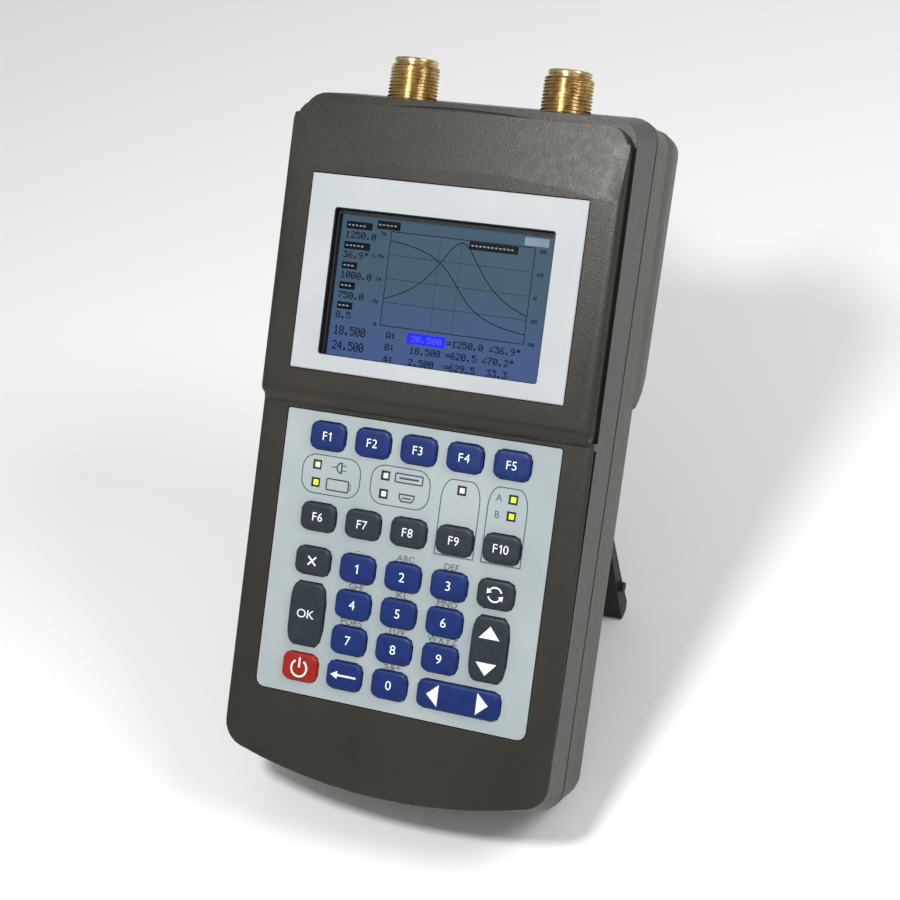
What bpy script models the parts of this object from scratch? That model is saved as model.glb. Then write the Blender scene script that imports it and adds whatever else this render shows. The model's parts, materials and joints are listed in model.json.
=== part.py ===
"""Handheld two-port network analyzer, as the pieces it comes apart into on a bench.

Every piece is modelled in case coordinates: X to the right, Y towards the back, Z up the case, with
the flat keypad face at Y = 0 and the lowest point of that face's curved edge at Z = 0. The empty
case_frame then leans the case back until it stands on its bottom edge and its open kickstand.
"""

import math

import bmesh
import bpy
from mathutils import Matrix, Vector

MM = 0.001
GAP = 0.3 * MM
SLIVER = 0.002 * MM

# Case outline, seen from the front
CASE_HALF_WIDTH = 55.5 * MM
CASE_TOP = 216.0 * MM
TOP_CORNER_RADIUS = 8.0 * MM
BOTTOM_SWEEP_RADIUS = 176.0 * MM
BOTTOM_CORNER_RADIUS = 8.5 * MM
LEAST_RADIUS = 1.0 * MM
WALL = 2.4 * MM

# Depths from the keypad face; the parting plane and the back slope with height
PARTING_Y = 15.2 * MM
PARTING_SLOPE = 0.0385
SEAM = 0.35 * MM
SEAM_BEVEL = 0.45 * MM
END_RISE = 3.0 * MM
BACK_Y = 36.9 * MM
BACK_SLOPE = 0.0306
HUMP_Y = 44.2 * MM
HUMP_SLOPE = 0.045
HUMP_LOW = 129.6 * MM
HUMP_RISE = 2.6 * MM

# Raised display half of the front
PAD_Y = -3.7 * MM
PAD_LOW = 118.4 * MM
PAD_TOP_DROP = 1.5 * MM
PAD_EDGE_LOW = 122.6 * MM
BROW_RADIUS = 272.0 * MM
BROW_TOP = 195.9 * MM

# Display
BEZEL_HALF_WIDTH = 45.5 * MM
BEZEL_LOW = 130.0 * MM
BEZEL_HIGH = 190.7 * MM
WINDOW_HALF_WIDTH = 36.5 * MM
WINDOW_LOW = 135.1 * MM
WINDOW_HIGH = 180.8 * MM
LENS_OVERLAP = 1.7 * MM
LCD_Y = 0.4 * MM
LCD_DEPTH = 5.6 * MM
LCD_HALF_WIDTH = 41.5 * MM

# Keypad
OVERLAY_HALF_WIDTH = 46.0 * MM
OVERLAY_LOW = 27.8 * MM
OVERLAY_HIGH = 117.0 * MM
OVERLAY_RADIUS = 2.7 * MM
OVERLAY_TOP_RADIUS = 0.6 * MM
OVERLAY_Y = 0.05 * MM
OVERLAY_THICKNESS = 0.5 * MM
KEY_PITCH = 15.5 * MM
KEY_WIDTH = 11.9 * MM
KEY_HEIGHT = 8.7 * MM
KEY_RADIUS = 2.4 * MM
KEY_TALL = 19.9 * MM
KEY_TOP_Y = -1.25 * MM
KEY_ROWS = {
    "one": 109.8 * MM,
    "two": 84.25 * MM,
    "three": 70.3 * MM,
    "four": 58.9 * MM,
    "five": 47.6 * MM,
    "six": 36.4 * MM,
}
TALL_KEY_Z = 53.4 * MM
LAMP_SIDE = 2.4 * MM
LAMP_HOLE = 3.0 * MM

# Connectors on the top edge
CONNECTOR_X = 25.9 * MM
CONNECTOR_Y = 19.8 * MM
CONNECTOR_TOP = 230.6 * MM
THREAD_RADIUS = 7.94 * MM
LIP_RADIUS = 6.9 * MM
NECK_RADIUS = 6.0 * MM
BORE_RADIUS = 4.2 * MM

# Kickstand
STAND_HALF_WIDTH = 42.0 * MM
STAND_LENGTH = 80.1 * MM
STAND_FRONT = 2.0 * MM
STAND_REAR = 2.2 * MM
STAND_EYE = 2.75 * MM
STAND_WEB = 1.7 * MM
STAND_HEEL = 2.1 * MM
HINGE_Z = 113.3 * MM
HINGE_Y = 44.2 * MM
PIN_RADIUS = 1.5 * MM
STAND_OPEN = math.radians(45.4)
CASE_LEAN = math.radians(41.06)
BUMPER_Y = -0.2 * MM
BUMPER_Z = -65.8 * MM
BUMPER_RADIUS = 1.7 * MM

# Fastening
SCREW_X = 47.0 * MM
SCREW_ZS = {"low": 24.0 * MM, "high": 204.0 * MM}
POST_RADIUS = 3.4 * MM


# --- scene ------------------------------------------------------------------

for old in list(bpy.data.objects):
    bpy.data.objects.remove(old, do_unlink=True)

parts = bpy.data.collections.new("handheld_network_analyzer")
cutters = bpy.data.collections.new("cutters")
bpy.context.scene.collection.children.link(parts)
bpy.context.scene.collection.children.link(cutters)


def make_material(name, colour, roughness, metallic=0.0, alpha=1.0):
    material = bpy.data.materials.new(name)
    material.use_nodes = True
    shader = material.node_tree.nodes["Principled BSDF"]
    shader.inputs["Base Color"].default_value = (*colour, 1.0)
    shader.inputs["Roughness"].default_value = roughness
    shader.inputs["Metallic"].default_value = metallic
    shader.inputs["Alpha"].default_value = alpha
    return material


CASE_PLASTIC = make_material("case_plastic", (0.085, 0.08, 0.065), 0.55)
REAR_PLASTIC = make_material("rear_plastic", (0.16, 0.155, 0.14), 0.55)
BEZEL_WHITE = make_material("bezel_white", (0.72, 0.75, 0.78), 0.4)
LENS_CLEAR = make_material("lens_clear", (0.9, 0.95, 1.0), 0.05, alpha=0.3)
LCD_BLUE = make_material("lcd_blue", (0.12, 0.22, 0.36), 0.3)
OVERLAY_GREY = make_material("overlay_grey", (0.6, 0.66, 0.67), 0.45)
KEY_BLUE = make_material("key_blue", (0.02, 0.06, 0.28), 0.35)
KEY_GREY = make_material("key_grey", (0.06, 0.08, 0.1), 0.4)
KEY_RED = make_material("key_red", (0.7, 0.03, 0.01), 0.35)
LAMP_LIT = make_material("lamp_lit", (0.55, 0.85, 0.03), 0.3)
LAMP_OFF = make_material("lamp_off", (0.75, 0.72, 0.66), 0.3)
GOLD = make_material("gold_plating", (0.75, 0.55, 0.25), 0.2, metallic=1.0)
INSULATOR_WHITE = make_material("insulator_white", (0.85, 0.85, 0.82), 0.5)
STEEL = make_material("steel", (0.6, 0.6, 0.62), 0.3, metallic=1.0)
RUBBER = make_material("rubber_black", (0.02, 0.02, 0.02), 0.8)
BOARD_GREEN = make_material("board_green", (0.02, 0.16, 0.06), 0.5)
CELL_WRAP = make_material("cell_wrap", (0.05, 0.2, 0.4), 0.4)


# --- outlines in the XZ plane, anticlockwise seen from the front ---------------


def arc(centre, radius, start, end, steps):
    """Points of an arc; the angles are degrees from +X."""
    points = []
    for step in range(steps + 1):
        angle = math.radians(start + (end - start) * step / steps)
        points.append((centre[0] + radius * math.cos(angle), centre[1] + radius * math.sin(angle)))
    return points


def case_outline(inset, rise=0.0):
    """The case seen from the front: round top corners and a swept bottom.

    It is shrunk by inset all round, then both ends move outwards by rise.
    """
    half = CASE_HALF_WIDTH - inset
    top = CASE_TOP - inset + rise
    top_radius = max(TOP_CORNER_RADIUS - inset, LEAST_RADIUS)
    low_radius = max(BOTTOM_CORNER_RADIUS - inset, LEAST_RADIUS)
    sweep = BOTTOM_SWEEP_RADIUS - inset
    low_x = half - low_radius
    reach = sweep - low_radius
    sweep_z = BOTTOM_SWEEP_RADIUS - rise
    low_z = sweep_z - math.sqrt(reach**2 - low_x**2)
    tilt = math.degrees(math.asin(low_x / reach))
    points = arc((0, sweep_z), sweep, 270 - tilt, 270 + tilt, 12)[1:-1]
    points += arc((low_x, low_z), low_radius, 270 + tilt, 360, 5)
    points += arc((half - top_radius, top - top_radius), top_radius, 0, 90, 6)
    points += arc((top_radius - half, top - top_radius), top_radius, 90, 180, 6)
    points += arc((-low_x, low_z), low_radius, 180, 270 - tilt, 5)
    return points


def upper_outline(inset, low, rise=0.0):
    """The upper half of the case outline, closed by a straight edge at the height low."""
    low_radius = 2.0 * MM
    half = CASE_HALF_WIDTH - inset
    top = CASE_TOP - inset + rise
    top_radius = max(TOP_CORNER_RADIUS - inset, LEAST_RADIUS)
    points = arc((half - low_radius, low + low_radius), low_radius, 270, 360, 3)
    points += arc((half - top_radius, top - top_radius), top_radius, 0, 90, 6)
    points += arc((top_radius - half, top - top_radius), top_radius, 90, 180, 6)
    points += arc((low_radius - half, low + low_radius), low_radius, 180, 270, 3)
    return points


def box_outline(half_width, low, high, radius=0.0, steps=3, top_radius=None):
    """A rectangle centred on X = 0, with round corners when a radius is given."""
    if radius <= 0.0:
        return [(-half_width, low), (half_width, low), (half_width, high), (-half_width, high)]
    top = radius if top_radius is None else top_radius
    points = arc((half_width - radius, low + radius), radius, 270, 360, steps)
    points += arc((half_width - top, high - top), top, 0, 90, steps)
    points += arc((top - half_width, high - top), top, 90, 180, steps)
    points += arc((radius - half_width, low + radius), radius, 180, 270, steps)
    return points


def ring(outline, y, slope=0.0):
    """An outline set at the depth y, leaning back with height when a slope is given."""
    return [(x, y + slope * z, z) for x, z in outline]


# --- solids -----------------------------------------------------------------


def finish(bm, name, material, collection=parts):
    """Turns a bmesh into an object with its faces pointing out and round edges shaded smooth."""
    bmesh.ops.recalc_face_normals(bm, faces=bm.faces)
    mesh = bpy.data.meshes.new(name)
    bm.to_mesh(mesh)
    bm.free()
    if material is not None:
        mesh.materials.append(material)
    mesh.shade_smooth()
    mesh.set_sharp_from_angle(angle=math.radians(35))
    obj = bpy.data.objects.new(name, mesh)
    collection.objects.link(obj)
    if collection is cutters:
        obj.hide_render = True
        obj.display_type = "WIRE"
    return obj


def add_loft(bm, rings):
    """Joins rings of equal length into one closed body, with its twisted quads split."""
    loops = [[bm.verts.new(point) for point in points] for points in rings]
    count = len(loops[0])
    sides = []
    for near, far in zip(loops, loops[1:]):
        for i in range(count):
            j = (i + 1) % count
            sides.append(bm.faces.new((near[i], near[j], far[j], far[i])))
    bm.faces.new(loops[0])
    bm.faces.new(list(reversed(loops[-1])))
    bmesh.ops.connect_verts_nonplanar(bm, angle_limit=0.0001, faces=sides)


def loft(name, rings, material=None, collection=parts):
    bm = bmesh.new()
    add_loft(bm, rings)
    return finish(bm, name, material, collection)


def add_box(bm, low, high):
    """A box between two corners."""
    low = Vector(low)
    high = Vector(high)
    size = Matrix.Diagonal((*(high - low), 1.0))
    bmesh.ops.create_cube(bm, size=1.0, matrix=Matrix.Translation((low + high) / 2) @ size)


def box(name, low, high, material=None, collection=parts):
    bm = bmesh.new()
    add_box(bm, low, high)
    return finish(bm, name, material, collection)


def add_rod(bm, start, end, radius, steps=16):
    """A cylinder from start to end."""
    start = Vector(start)
    end = Vector(end)
    turn = (end - start).to_track_quat("Z", "Y").to_matrix().to_4x4()
    bmesh.ops.create_cone(
        bm,
        cap_ends=True,
        segments=steps,
        radius1=radius,
        radius2=radius,
        depth=(end - start).length,
        matrix=Matrix.Translation((start + end) / 2) @ turn,
    )


def rod(name, start, end, radius, material=None, collection=parts, steps=16):
    bm = bmesh.new()
    add_rod(bm, start, end, radius, steps)
    return finish(bm, name, material, collection)


def turned(name, profile, material, closed, steps=24, collection=parts):
    """A profile of (radius, z) points turned about Z; its outer side runs from top to bottom."""
    mesh = bpy.data.meshes.new(name)
    edges = [(i, i + 1) for i in range(len(profile) - 1)]
    if closed:
        edges.append((len(profile) - 1, 0))
    mesh.from_pydata([(radius, 0.0, z) for radius, z in profile], edges, [])
    mesh.materials.append(material)
    obj = bpy.data.objects.new(name, mesh)
    collection.objects.link(obj)
    screw = obj.modifiers.new("turn", "SCREW")
    screw.steps = steps
    screw.render_steps = steps
    screw.use_merge_vertices = True
    screw.merge_threshold = 0.00001
    screw.use_smooth_shade = True
    return obj


def combine(target, tool, operation):
    """Adds or takes away another object, then merges the slivers a Boolean leaves behind."""
    modifier = target.modifiers.new(tool.name, "BOOLEAN")
    modifier.operation = operation
    modifier.solver = "EXACT"
    modifier.object = tool
    weld = target.modifiers.new(tool.name + "_weld", "WELD")
    weld.merge_threshold = SLIVER


# --- the frame that leans the case back --------------------------------------

case_frame = bpy.data.objects.new("case_frame", None)
parts.objects.link(case_frame)
case_frame.rotation_euler = (-CASE_LEAN, 0.0, 0.0)


# --- front shell ------------------------------------------------------------


def front_outer():
    """The lower front face and the side wall back to the parting plane."""
    rings = [
        ring(case_outline(1.3 * MM), 0.0),
        ring(case_outline(0.5 * MM), 0.2 * MM),
        ring(case_outline(0.1 * MM), 0.8 * MM),
        ring(case_outline(0.2 * MM, END_RISE), PARTING_Y - SEAM_BEVEL, PARTING_SLOPE),
        ring(case_outline(0.2 * MM + SEAM_BEVEL, END_RISE), PARTING_Y, PARTING_SLOPE),
    ]
    return loft("front_shell", rings, CASE_PLASTIC)


def raised_pad():
    """The display half, which stands proud of the keypad face and slopes down to it."""
    edge = [
        (6.0 * MM, 1.3 * MM, PAD_LOW),
        (0.0, 0.15 * MM, PAD_LOW),
        (-1.1 * MM, 0.15 * MM, 119.3 * MM),
        (-2.3 * MM, 0.15 * MM, 120.7 * MM),
        (-3.0 * MM, 0.5 * MM, 121.6 * MM),
        (-3.5 * MM, 1.3 * MM, PAD_EDGE_LOW),
        (PAD_Y, 2.7 * MM, PAD_EDGE_LOW + 1.2 * MM),
    ]
    rings = [ring(upper_outline(inset, low, -PAD_TOP_DROP), y) for y, inset, low in edge]
    return loft("raised_pad", rings, collection=cutters)


def brow_cutter():
    """A shallow cone that slopes the top of the pad back from a curved line above the display."""
    profile = [
        (BROW_RADIUS - 1.0 * MM, PAD_Y - 0.06 * MM),
        (BROW_RADIUS - 1.0 * MM, PAD_Y - 4.0 * MM),
        (BROW_RADIUS + 40.0 * MM, PAD_Y - 4.0 * MM),
        (BROW_RADIUS + 40.0 * MM, PAD_Y + 3.2 * MM),
        (BROW_RADIUS + 0.9 * MM, PAD_Y + 0.13 * MM),
        (BROW_RADIUS, PAD_Y),
    ]
    centre_z = BROW_TOP - BROW_RADIUS
    rings = []
    for step in range(19):
        angle = math.radians(-18 + 2 * step)
        across = math.sin(angle)
        up = math.cos(angle)
        rings.append([(radius * across, y, centre_z + radius * up) for radius, y in profile])
    return loft("brow_cutter", rings, collection=cutters)


def groove_cutter(name, levels, inset, drop):
    """Everything outside the inset outline between the front and back depths at two heights."""
    reach = 80 * MM
    slabs = []
    for z, front_y, back_y in levels:
        corners = [(-reach, front_y), (reach, front_y), (reach, back_y), (-reach, back_y)]
        slabs.append([(x, y, z) for x, y in corners])
    cutter = loft(name, slabs, collection=cutters)
    core_rings = [ring(case_outline(inset, -drop), y) for y in (-9 * MM, 12 * MM)]
    combine(cutter, loft(name + "_core", core_rings, collection=cutters), "DIFFERENCE")
    return cutter


def front_cavity():
    """The space behind the front face, kept clear of the groove round the display half."""
    rings = [
        ring(case_outline(WALL + 0.4 * MM, -PAD_TOP_DROP), WALL),
        ring(case_outline(WALL + 0.4 * MM, -PAD_TOP_DROP), 6.2 * MM),
        ring(case_outline(WALL + 0.3 * MM), 7.0 * MM),
        ring(case_outline(WALL), PARTING_Y + 15 * MM, PARTING_SLOPE),
    ]
    return loft("front_cavity", rings, collection=cutters)


def pad_cavity():
    rings = [
        ring(upper_outline(3.8 * MM, 124.0 * MM, -PAD_TOP_DROP), -1.2 * MM),
        ring(upper_outline(3.2 * MM, 123.0 * MM, -PAD_TOP_DROP), WALL + 3.4 * MM),
    ]
    return loft("pad_cavity", rings, collection=cutters)


def bezel_recess():
    rings = [
        ring(box_outline(BEZEL_HALF_WIDTH + GAP, BEZEL_LOW - GAP, BEZEL_HIGH + GAP), y)
        for y in (PAD_Y - 2 * MM, PAD_Y + 0.9 * MM)
    ]
    return loft("bezel_recess", rings, collection=cutters)


def window_opening():
    """The hole behind the bezel that the lens sits in."""
    over = LENS_OVERLAP + GAP
    outline = box_outline(WINDOW_HALF_WIDTH + over, WINDOW_LOW - over, WINDOW_HIGH + over)
    return loft(
        "window_opening", [ring(outline, PAD_Y - 2 * MM), ring(outline, 3 * MM)], collection=cutters
    )


def overlay_recess():
    outline = box_outline(
        OVERLAY_HALF_WIDTH + GAP,
        OVERLAY_LOW - GAP,
        OVERLAY_HIGH + GAP,
        OVERLAY_RADIUS + GAP,
        top_radius=OVERLAY_TOP_RADIUS + GAP,
    )
    depth = OVERLAY_Y + OVERLAY_THICKNESS + GAP
    return loft("overlay_recess", [ring(outline, -1 * MM), ring(outline, depth)], collection=cutters)


# --- keys -------------------------------------------------------------------


def key_outline(half_x, half_z, inset, barrel):
    """A key cap: a rounded rectangle, or for a tall rocker a barrel with narrow ends."""
    half_x -= inset
    half_z -= inset
    if not barrel:
        return box_outline(half_x, -half_z, half_z, max(KEY_RADIUS - inset, 0.6 * MM), 2)
    end_x = half_x * 0.62
    side_z = half_z * 0.42
    mid_x = (half_x + end_x) / 2 + 0.5 * MM
    mid_z = (half_z + side_z) / 2 + 1.0 * MM
    quarter = [(half_x, side_z), (mid_x, mid_z), (end_x, half_z)]
    right = [(x, -z) for x, z in reversed(quarter)] + quarter
    left = [(-x, -z) for x, z in right]
    return right + left


def key_table():
    """Each key's name, column, row height, half sizes, shape and material."""
    half = (KEY_WIDTH / 2, KEY_HEIGHT / 2)
    rows = KEY_ROWS
    table = []
    for column in range(-2, 3):
        x = column * KEY_PITCH
        number = column + 3
        table.append((f"key_function_{number}", x, rows["one"], *half, False, KEY_BLUE))
        table.append((f"key_function_{number + 5}", x, rows["two"], *half, False, KEY_GREY))
    for digit in range(1, 10):
        x = ((digit - 1) % 3 - 1) * KEY_PITCH
        row = rows[("three", "four", "five")[(digit - 1) // 3]]
        table.append((f"key_digit_{digit}", x, row, *half, False, KEY_BLUE))
    left = -2 * KEY_PITCH
    right = 2 * KEY_PITCH
    wide = (KEY_PITCH + KEY_WIDTH) / 2
    table += [
        ("key_escape", left, rows["three"], *half, False, KEY_GREY),
        ("key_auto", right, rows["three"], *half, False, KEY_GREY),
        ("key_enter", left, TALL_KEY_Z, KEY_WIDTH / 2, KEY_TALL / 2, True, KEY_GREY),
        ("key_up_down", right, TALL_KEY_Z, KEY_WIDTH / 2, KEY_TALL / 2, True, KEY_GREY),
        ("key_power", left, rows["six"], *half, False, KEY_RED),
        ("key_backspace", -KEY_PITCH, rows["six"], *half, False, KEY_BLUE),
        ("key_digit_0", 0.0, rows["six"], *half, False, KEY_BLUE),
        ("key_left_right", 1.5 * KEY_PITCH, rows["six"], wide, KEY_HEIGHT / 2, False, KEY_BLUE),
    ]
    return table


def make_key(name, x, z, half_x, half_z, barrel, material):
    """A cap that reaches through the panel, with a wider foot behind it that keeps it in."""
    sections = [
        (KEY_TOP_Y, 0.8 * MM),
        (KEY_TOP_Y + 0.15 * MM, 0.35 * MM),
        (KEY_TOP_Y + 0.5 * MM, 0.0),
        (WALL + GAP, 0.0),
        (WALL + GAP, -0.65 * MM),
        (WALL + 1.1 * MM, -0.65 * MM),
    ]
    rings = [ring(key_outline(half_x, half_z, inset, barrel), y) for y, inset in sections]
    key = loft(name, rings, material)
    key.location = (x, 0.0, z)
    key.parent = case_frame
    return key


LAMPS = {
    "led_mains": (-33.8 * MM, 100.5 * MM, LAMP_OFF),
    "led_battery": (-33.7 * MM, 94.9 * MM, LAMP_LIT),
    "led_card": (-10.2 * MM, 100.5 * MM, LAMP_OFF),
    "led_usb": (-10.2 * MM, 94.8 * MM, LAMP_OFF),
    "led_sweep": (15.6 * MM, 99.7 * MM, LAMP_OFF),
    "led_cursor_a": (32.5 * MM, 99.5 * MM, LAMP_LIT),
    "led_cursor_b": (32.5 * MM, 94.4 * MM, LAMP_LIT),
}


def panel_holes():
    """One cutter with the clearance hole of every key and lamp."""
    bm = bmesh.new()
    for _name, x, z, half_x, half_z, barrel, _material in key_table():
        outline = [(x + px, z + pz) for px, pz in key_outline(half_x, half_z, -GAP, barrel)]
        add_loft(bm, [ring(outline, -2 * MM), ring(outline, WALL + 2 * MM)])
    for x, z, _material in LAMPS.values():
        half = LAMP_HOLE / 2
        add_box(bm, (x - half, -2 * MM, z - half), (x + half, WALL + 2 * MM, z + half))
    return finish(bm, "panel_holes", None, cutters)


# --- fastening and connector clearances ----------------------------------------


def screw_places():
    for height_name, z in SCREW_ZS.items():
        for side_name, side in (("left", -1), ("right", 1)):
            yield f"case_screw_{height_name}_{side_name}", side * SCREW_X, z


def parting_at(z):
    return PARTING_Y + PARTING_SLOPE * z


def front_posts():
    """Bosses behind the front face that the case screws bite into."""
    bm = bmesh.new()
    for _name, x, z in screw_places():
        start = WALL / 2 if z < PAD_LOW else -1.9 * MM
        add_rod(bm, (x, start, z), (x, parting_at(z) - 0.2 * MM, z), POST_RADIUS, 12)
    return finish(bm, "front_posts", None, cutters)


def front_post_bores():
    bm = bmesh.new()
    for _name, x, z in screw_places():
        add_rod(bm, (x, 6 * MM, z), (x, parting_at(z) + 5 * MM, z), 1.6 * MM, 8)
    return finish(bm, "front_post_bores", None, cutters)


def rear_posts():
    """Tubes on the rear shell that carry the screw heads."""
    bm = bmesh.new()
    for _name, x, z in screw_places():
        end = BACK_Y - 1 * MM if z < PAD_LOW else HUMP_Y + HUMP_SLOPE * z - 1 * MM
        add_rod(bm, (x, parting_at(z) + 0.2 * MM, z), (x, end, z), POST_RADIUS + 0.9 * MM, 12)
    return finish(bm, "rear_posts", None, cutters)


def rear_post_bores():
    """A clearance hole for each shank."""
    bm = bmesh.new()
    for _name, x, z in screw_places():
        add_rod(bm, (x, parting_at(z) - 5 * MM, z), (x, parting_at(z) + 9 * MM, z), 1.9 * MM, 8)
    return finish(bm, "rear_post_bores", None, cutters)


def rear_head_bores():
    """A wider bore from the back for each screw head."""
    bm = bmesh.new()
    for _name, x, z in screw_places():
        add_rod(bm, (x, parting_at(z) + 3.2 * MM, z), (x, 70 * MM, z), 3.2 * MM, 12)
    return finish(bm, "rear_head_bores", None, cutters)


def connector_cutter():
    """Clearance round each connector's neck, with a flat counterbore under its thread."""
    neck = NECK_RADIUS + GAP
    thread = THREAD_RADIUS + GAP
    low = CASE_TOP - 12 * MM
    high = CASE_TOP + 10 * MM
    bm = bmesh.new()
    for side in (-1, 1):
        centre = (side * CONNECTOR_X, CONNECTOR_Y)
        rings = []
        for radius, z in ((neck, low), (neck, CASE_TOP), (thread, CASE_TOP), (thread, high)):
            rings.append([(x, y, z) for x, y in arc(centre, radius, 0, 345, 23)])
        add_loft(bm, rings)
    return finish(bm, "connector_cutter", None, cutters)


def make_front_shell():
    shell = front_outer()
    combine(shell, raised_pad(), "UNION")
    combine(shell, brow_cutter(), "DIFFERENCE")
    upper = [(119.8 * MM, -2.2 * MM, 3.7 * MM), (240 * MM, -2.2 * MM, 3.7 * MM)]
    combine(shell, groove_cutter("upper_groove", upper, 1.2 * MM, PAD_TOP_DROP), "DIFFERENCE")
    lower = [(27.0 * MM, 1.0 * MM, 1.35 * MM), (117.6 * MM, 1.0 * MM, 3.3 * MM)]
    combine(shell, groove_cutter("lower_groove", lower, 1.25 * MM, 0.0), "DIFFERENCE")
    combine(shell, front_cavity(), "DIFFERENCE")
    combine(shell, pad_cavity(), "DIFFERENCE")
    combine(shell, front_posts(), "UNION")
    combine(shell, front_post_bores(), "DIFFERENCE")
    combine(shell, bezel_recess(), "DIFFERENCE")
    combine(shell, window_opening(), "DIFFERENCE")
    combine(shell, overlay_recess(), "DIFFERENCE")
    combine(shell, bpy.data.objects["panel_holes"], "DIFFERENCE")
    combine(shell, bpy.data.objects["connector_cutter"], "DIFFERENCE")
    shell.parent = case_frame
    return shell


# --- rear shell -------------------------------------------------------------


def rear_outer():
    edge = [
        (5.0 * MM, 1.1 * MM, 2.6 * MM),
        (2.2 * MM, 1.5 * MM, 2.4 * MM),
        (0.6 * MM, 2.4 * MM, 2.2 * MM),
        (0.0, 4.0 * MM, 2.0 * MM),
    ]
    start = PARTING_Y + SEAM
    rings = [
        ring(case_outline(0.2 * MM + SEAM_BEVEL, END_RISE), start, PARTING_SLOPE),
        ring(case_outline(0.2 * MM, END_RISE), start + SEAM_BEVEL, PARTING_SLOPE),
    ]
    for ahead, inset, rise in edge:
        rings.append(ring(case_outline(inset, rise), BACK_Y - ahead, BACK_SLOPE))
    return loft("rear_shell", rings, REAR_PLASTIC)


def rear_hump():
    """The deeper upper back over the battery, with a steeper band round its sides."""
    edge = [
        (-16.0 * MM, 1.5 * MM, 2.2 * MM),
        (-9.6 * MM, 0.85 * MM, 0.0),
        (-7.0 * MM, 1.15 * MM, 1.4 * MM),
        (-4.2 * MM, 1.4 * MM, 4.0 * MM),
        (-1.5 * MM, 1.75 * MM, 8.6 * MM),
        (-0.4 * MM, 2.6 * MM, 11.2 * MM),
        (0.0, 4.0 * MM, 13.2 * MM),
    ]
    rings = [
        ring(upper_outline(inset, HUMP_LOW + climb, HUMP_RISE), HUMP_Y + back, HUMP_SLOPE)
        for back, inset, climb in edge
    ]
    return loft("rear_hump", rings, collection=cutters)


def rear_cavity():
    rings = [
        ring(case_outline(WALL), PARTING_Y - 10 * MM, PARTING_SLOPE),
        ring(case_outline(WALL + 0.6 * MM), BACK_Y - 4 * MM, BACK_SLOPE),
        ring(case_outline(WALL + 2.0 * MM), BACK_Y - WALL, BACK_SLOPE),
    ]
    return loft("rear_cavity", rings, collection=cutters)


def hump_cavity():
    low = HUMP_LOW + 6.5 * MM
    rings = [
        ring(upper_outline(WALL + 1.0 * MM, low), HUMP_Y - 20 * MM, HUMP_SLOPE),
        ring(upper_outline(WALL + 1.4 * MM, low), HUMP_Y - 7 * MM, HUMP_SLOPE),
        ring(upper_outline(WALL + 3.0 * MM, low + 7 * MM), HUMP_Y - WALL, HUMP_SLOPE),
    ]
    return loft("hump_cavity", rings, collection=cutters)


COVER_HALF_WIDTH = 39.0 * MM
COVER_LOW = 149.0 * MM
COVER_HIGH = 209.0 * MM
COVER_THICKNESS = 1.6 * MM


def cover_recess():
    """A shallow seat in the hump for the battery cover."""
    outline = box_outline(COVER_HALF_WIDTH + GAP, COVER_LOW - GAP, COVER_HIGH + GAP, 3 * MM)
    rings = [
        ring(outline, HUMP_Y - COVER_THICKNESS - GAP, HUMP_SLOPE),
        ring(outline, HUMP_Y + 5 * MM, HUMP_SLOPE),
    ]
    return loft("cover_recess", rings, collection=cutters)


def battery_opening():
    outline = box_outline(COVER_HALF_WIDTH - 2.5 * MM, COVER_LOW + 2.5 * MM, COVER_HIGH - 2.5 * MM)
    rings = [ring(outline, HUMP_Y - 8 * MM, HUMP_SLOPE), ring(outline, HUMP_Y + 6 * MM, HUMP_SLOPE)]
    return loft("battery_opening", rings, collection=cutters)


def hinge_lugs():
    """Two ears on the back that hold the ends of the kickstand's pin."""
    bm = bmesh.new()
    for side in (-1, 1):
        near = side * (STAND_HALF_WIDTH + GAP)
        far = side * (STAND_HALF_WIDTH + 4.6 * MM)
        low_x, high_x = sorted((near, far))
        half = 4.0 * MM
        profile = [(-half, -6 * MM), (half, -6 * MM)] + arc((0, 0), 3.2 * MM, -20, 200, 7)
        rings = [
            [(x, HINGE_Y + back, HINGE_Z + up) for up, back in profile] for x in (low_x, high_x)
        ]
        add_loft(bm, rings)
    return finish(bm, "hinge_lugs", None, cutters)


PORT_DEPTH = 9.0 * MM
JACK_Z = 152.0 * MM
JACK_Y = 31.0 * MM
JACK_RADIUS = 4.6 * MM
USB_Z = 118.0 * MM
USB_Y = 27.5 * MM
USB_HALF = (2.3 * MM, 4.2 * MM)
CARD_Z = 84.0 * MM
CARD_Y = 26.0 * MM
CARD_HALF = (2.1 * MM, 14.0 * MM)


def port_cutter():
    """Openings in the left wall for the power jack, the USB port and the card slot."""
    bm = bmesh.new()
    outside = -CASE_HALF_WIDTH - 5 * MM
    inside = -CASE_HALF_WIDTH + 6 * MM
    add_rod(bm, (outside, JACK_Y, JACK_Z), (inside, JACK_Y, JACK_Z), JACK_RADIUS + GAP, 20)
    for y, z, half in ((USB_Y, USB_Z, USB_HALF), (CARD_Y, CARD_Z, CARD_HALF)):
        add_box(
            bm,
            (outside, y - half[0] - GAP, z - half[1] - GAP),
            (inside, y + half[0] + GAP, z + half[1] + GAP),
        )
    return finish(bm, "port_cutter", None, cutters)


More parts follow.
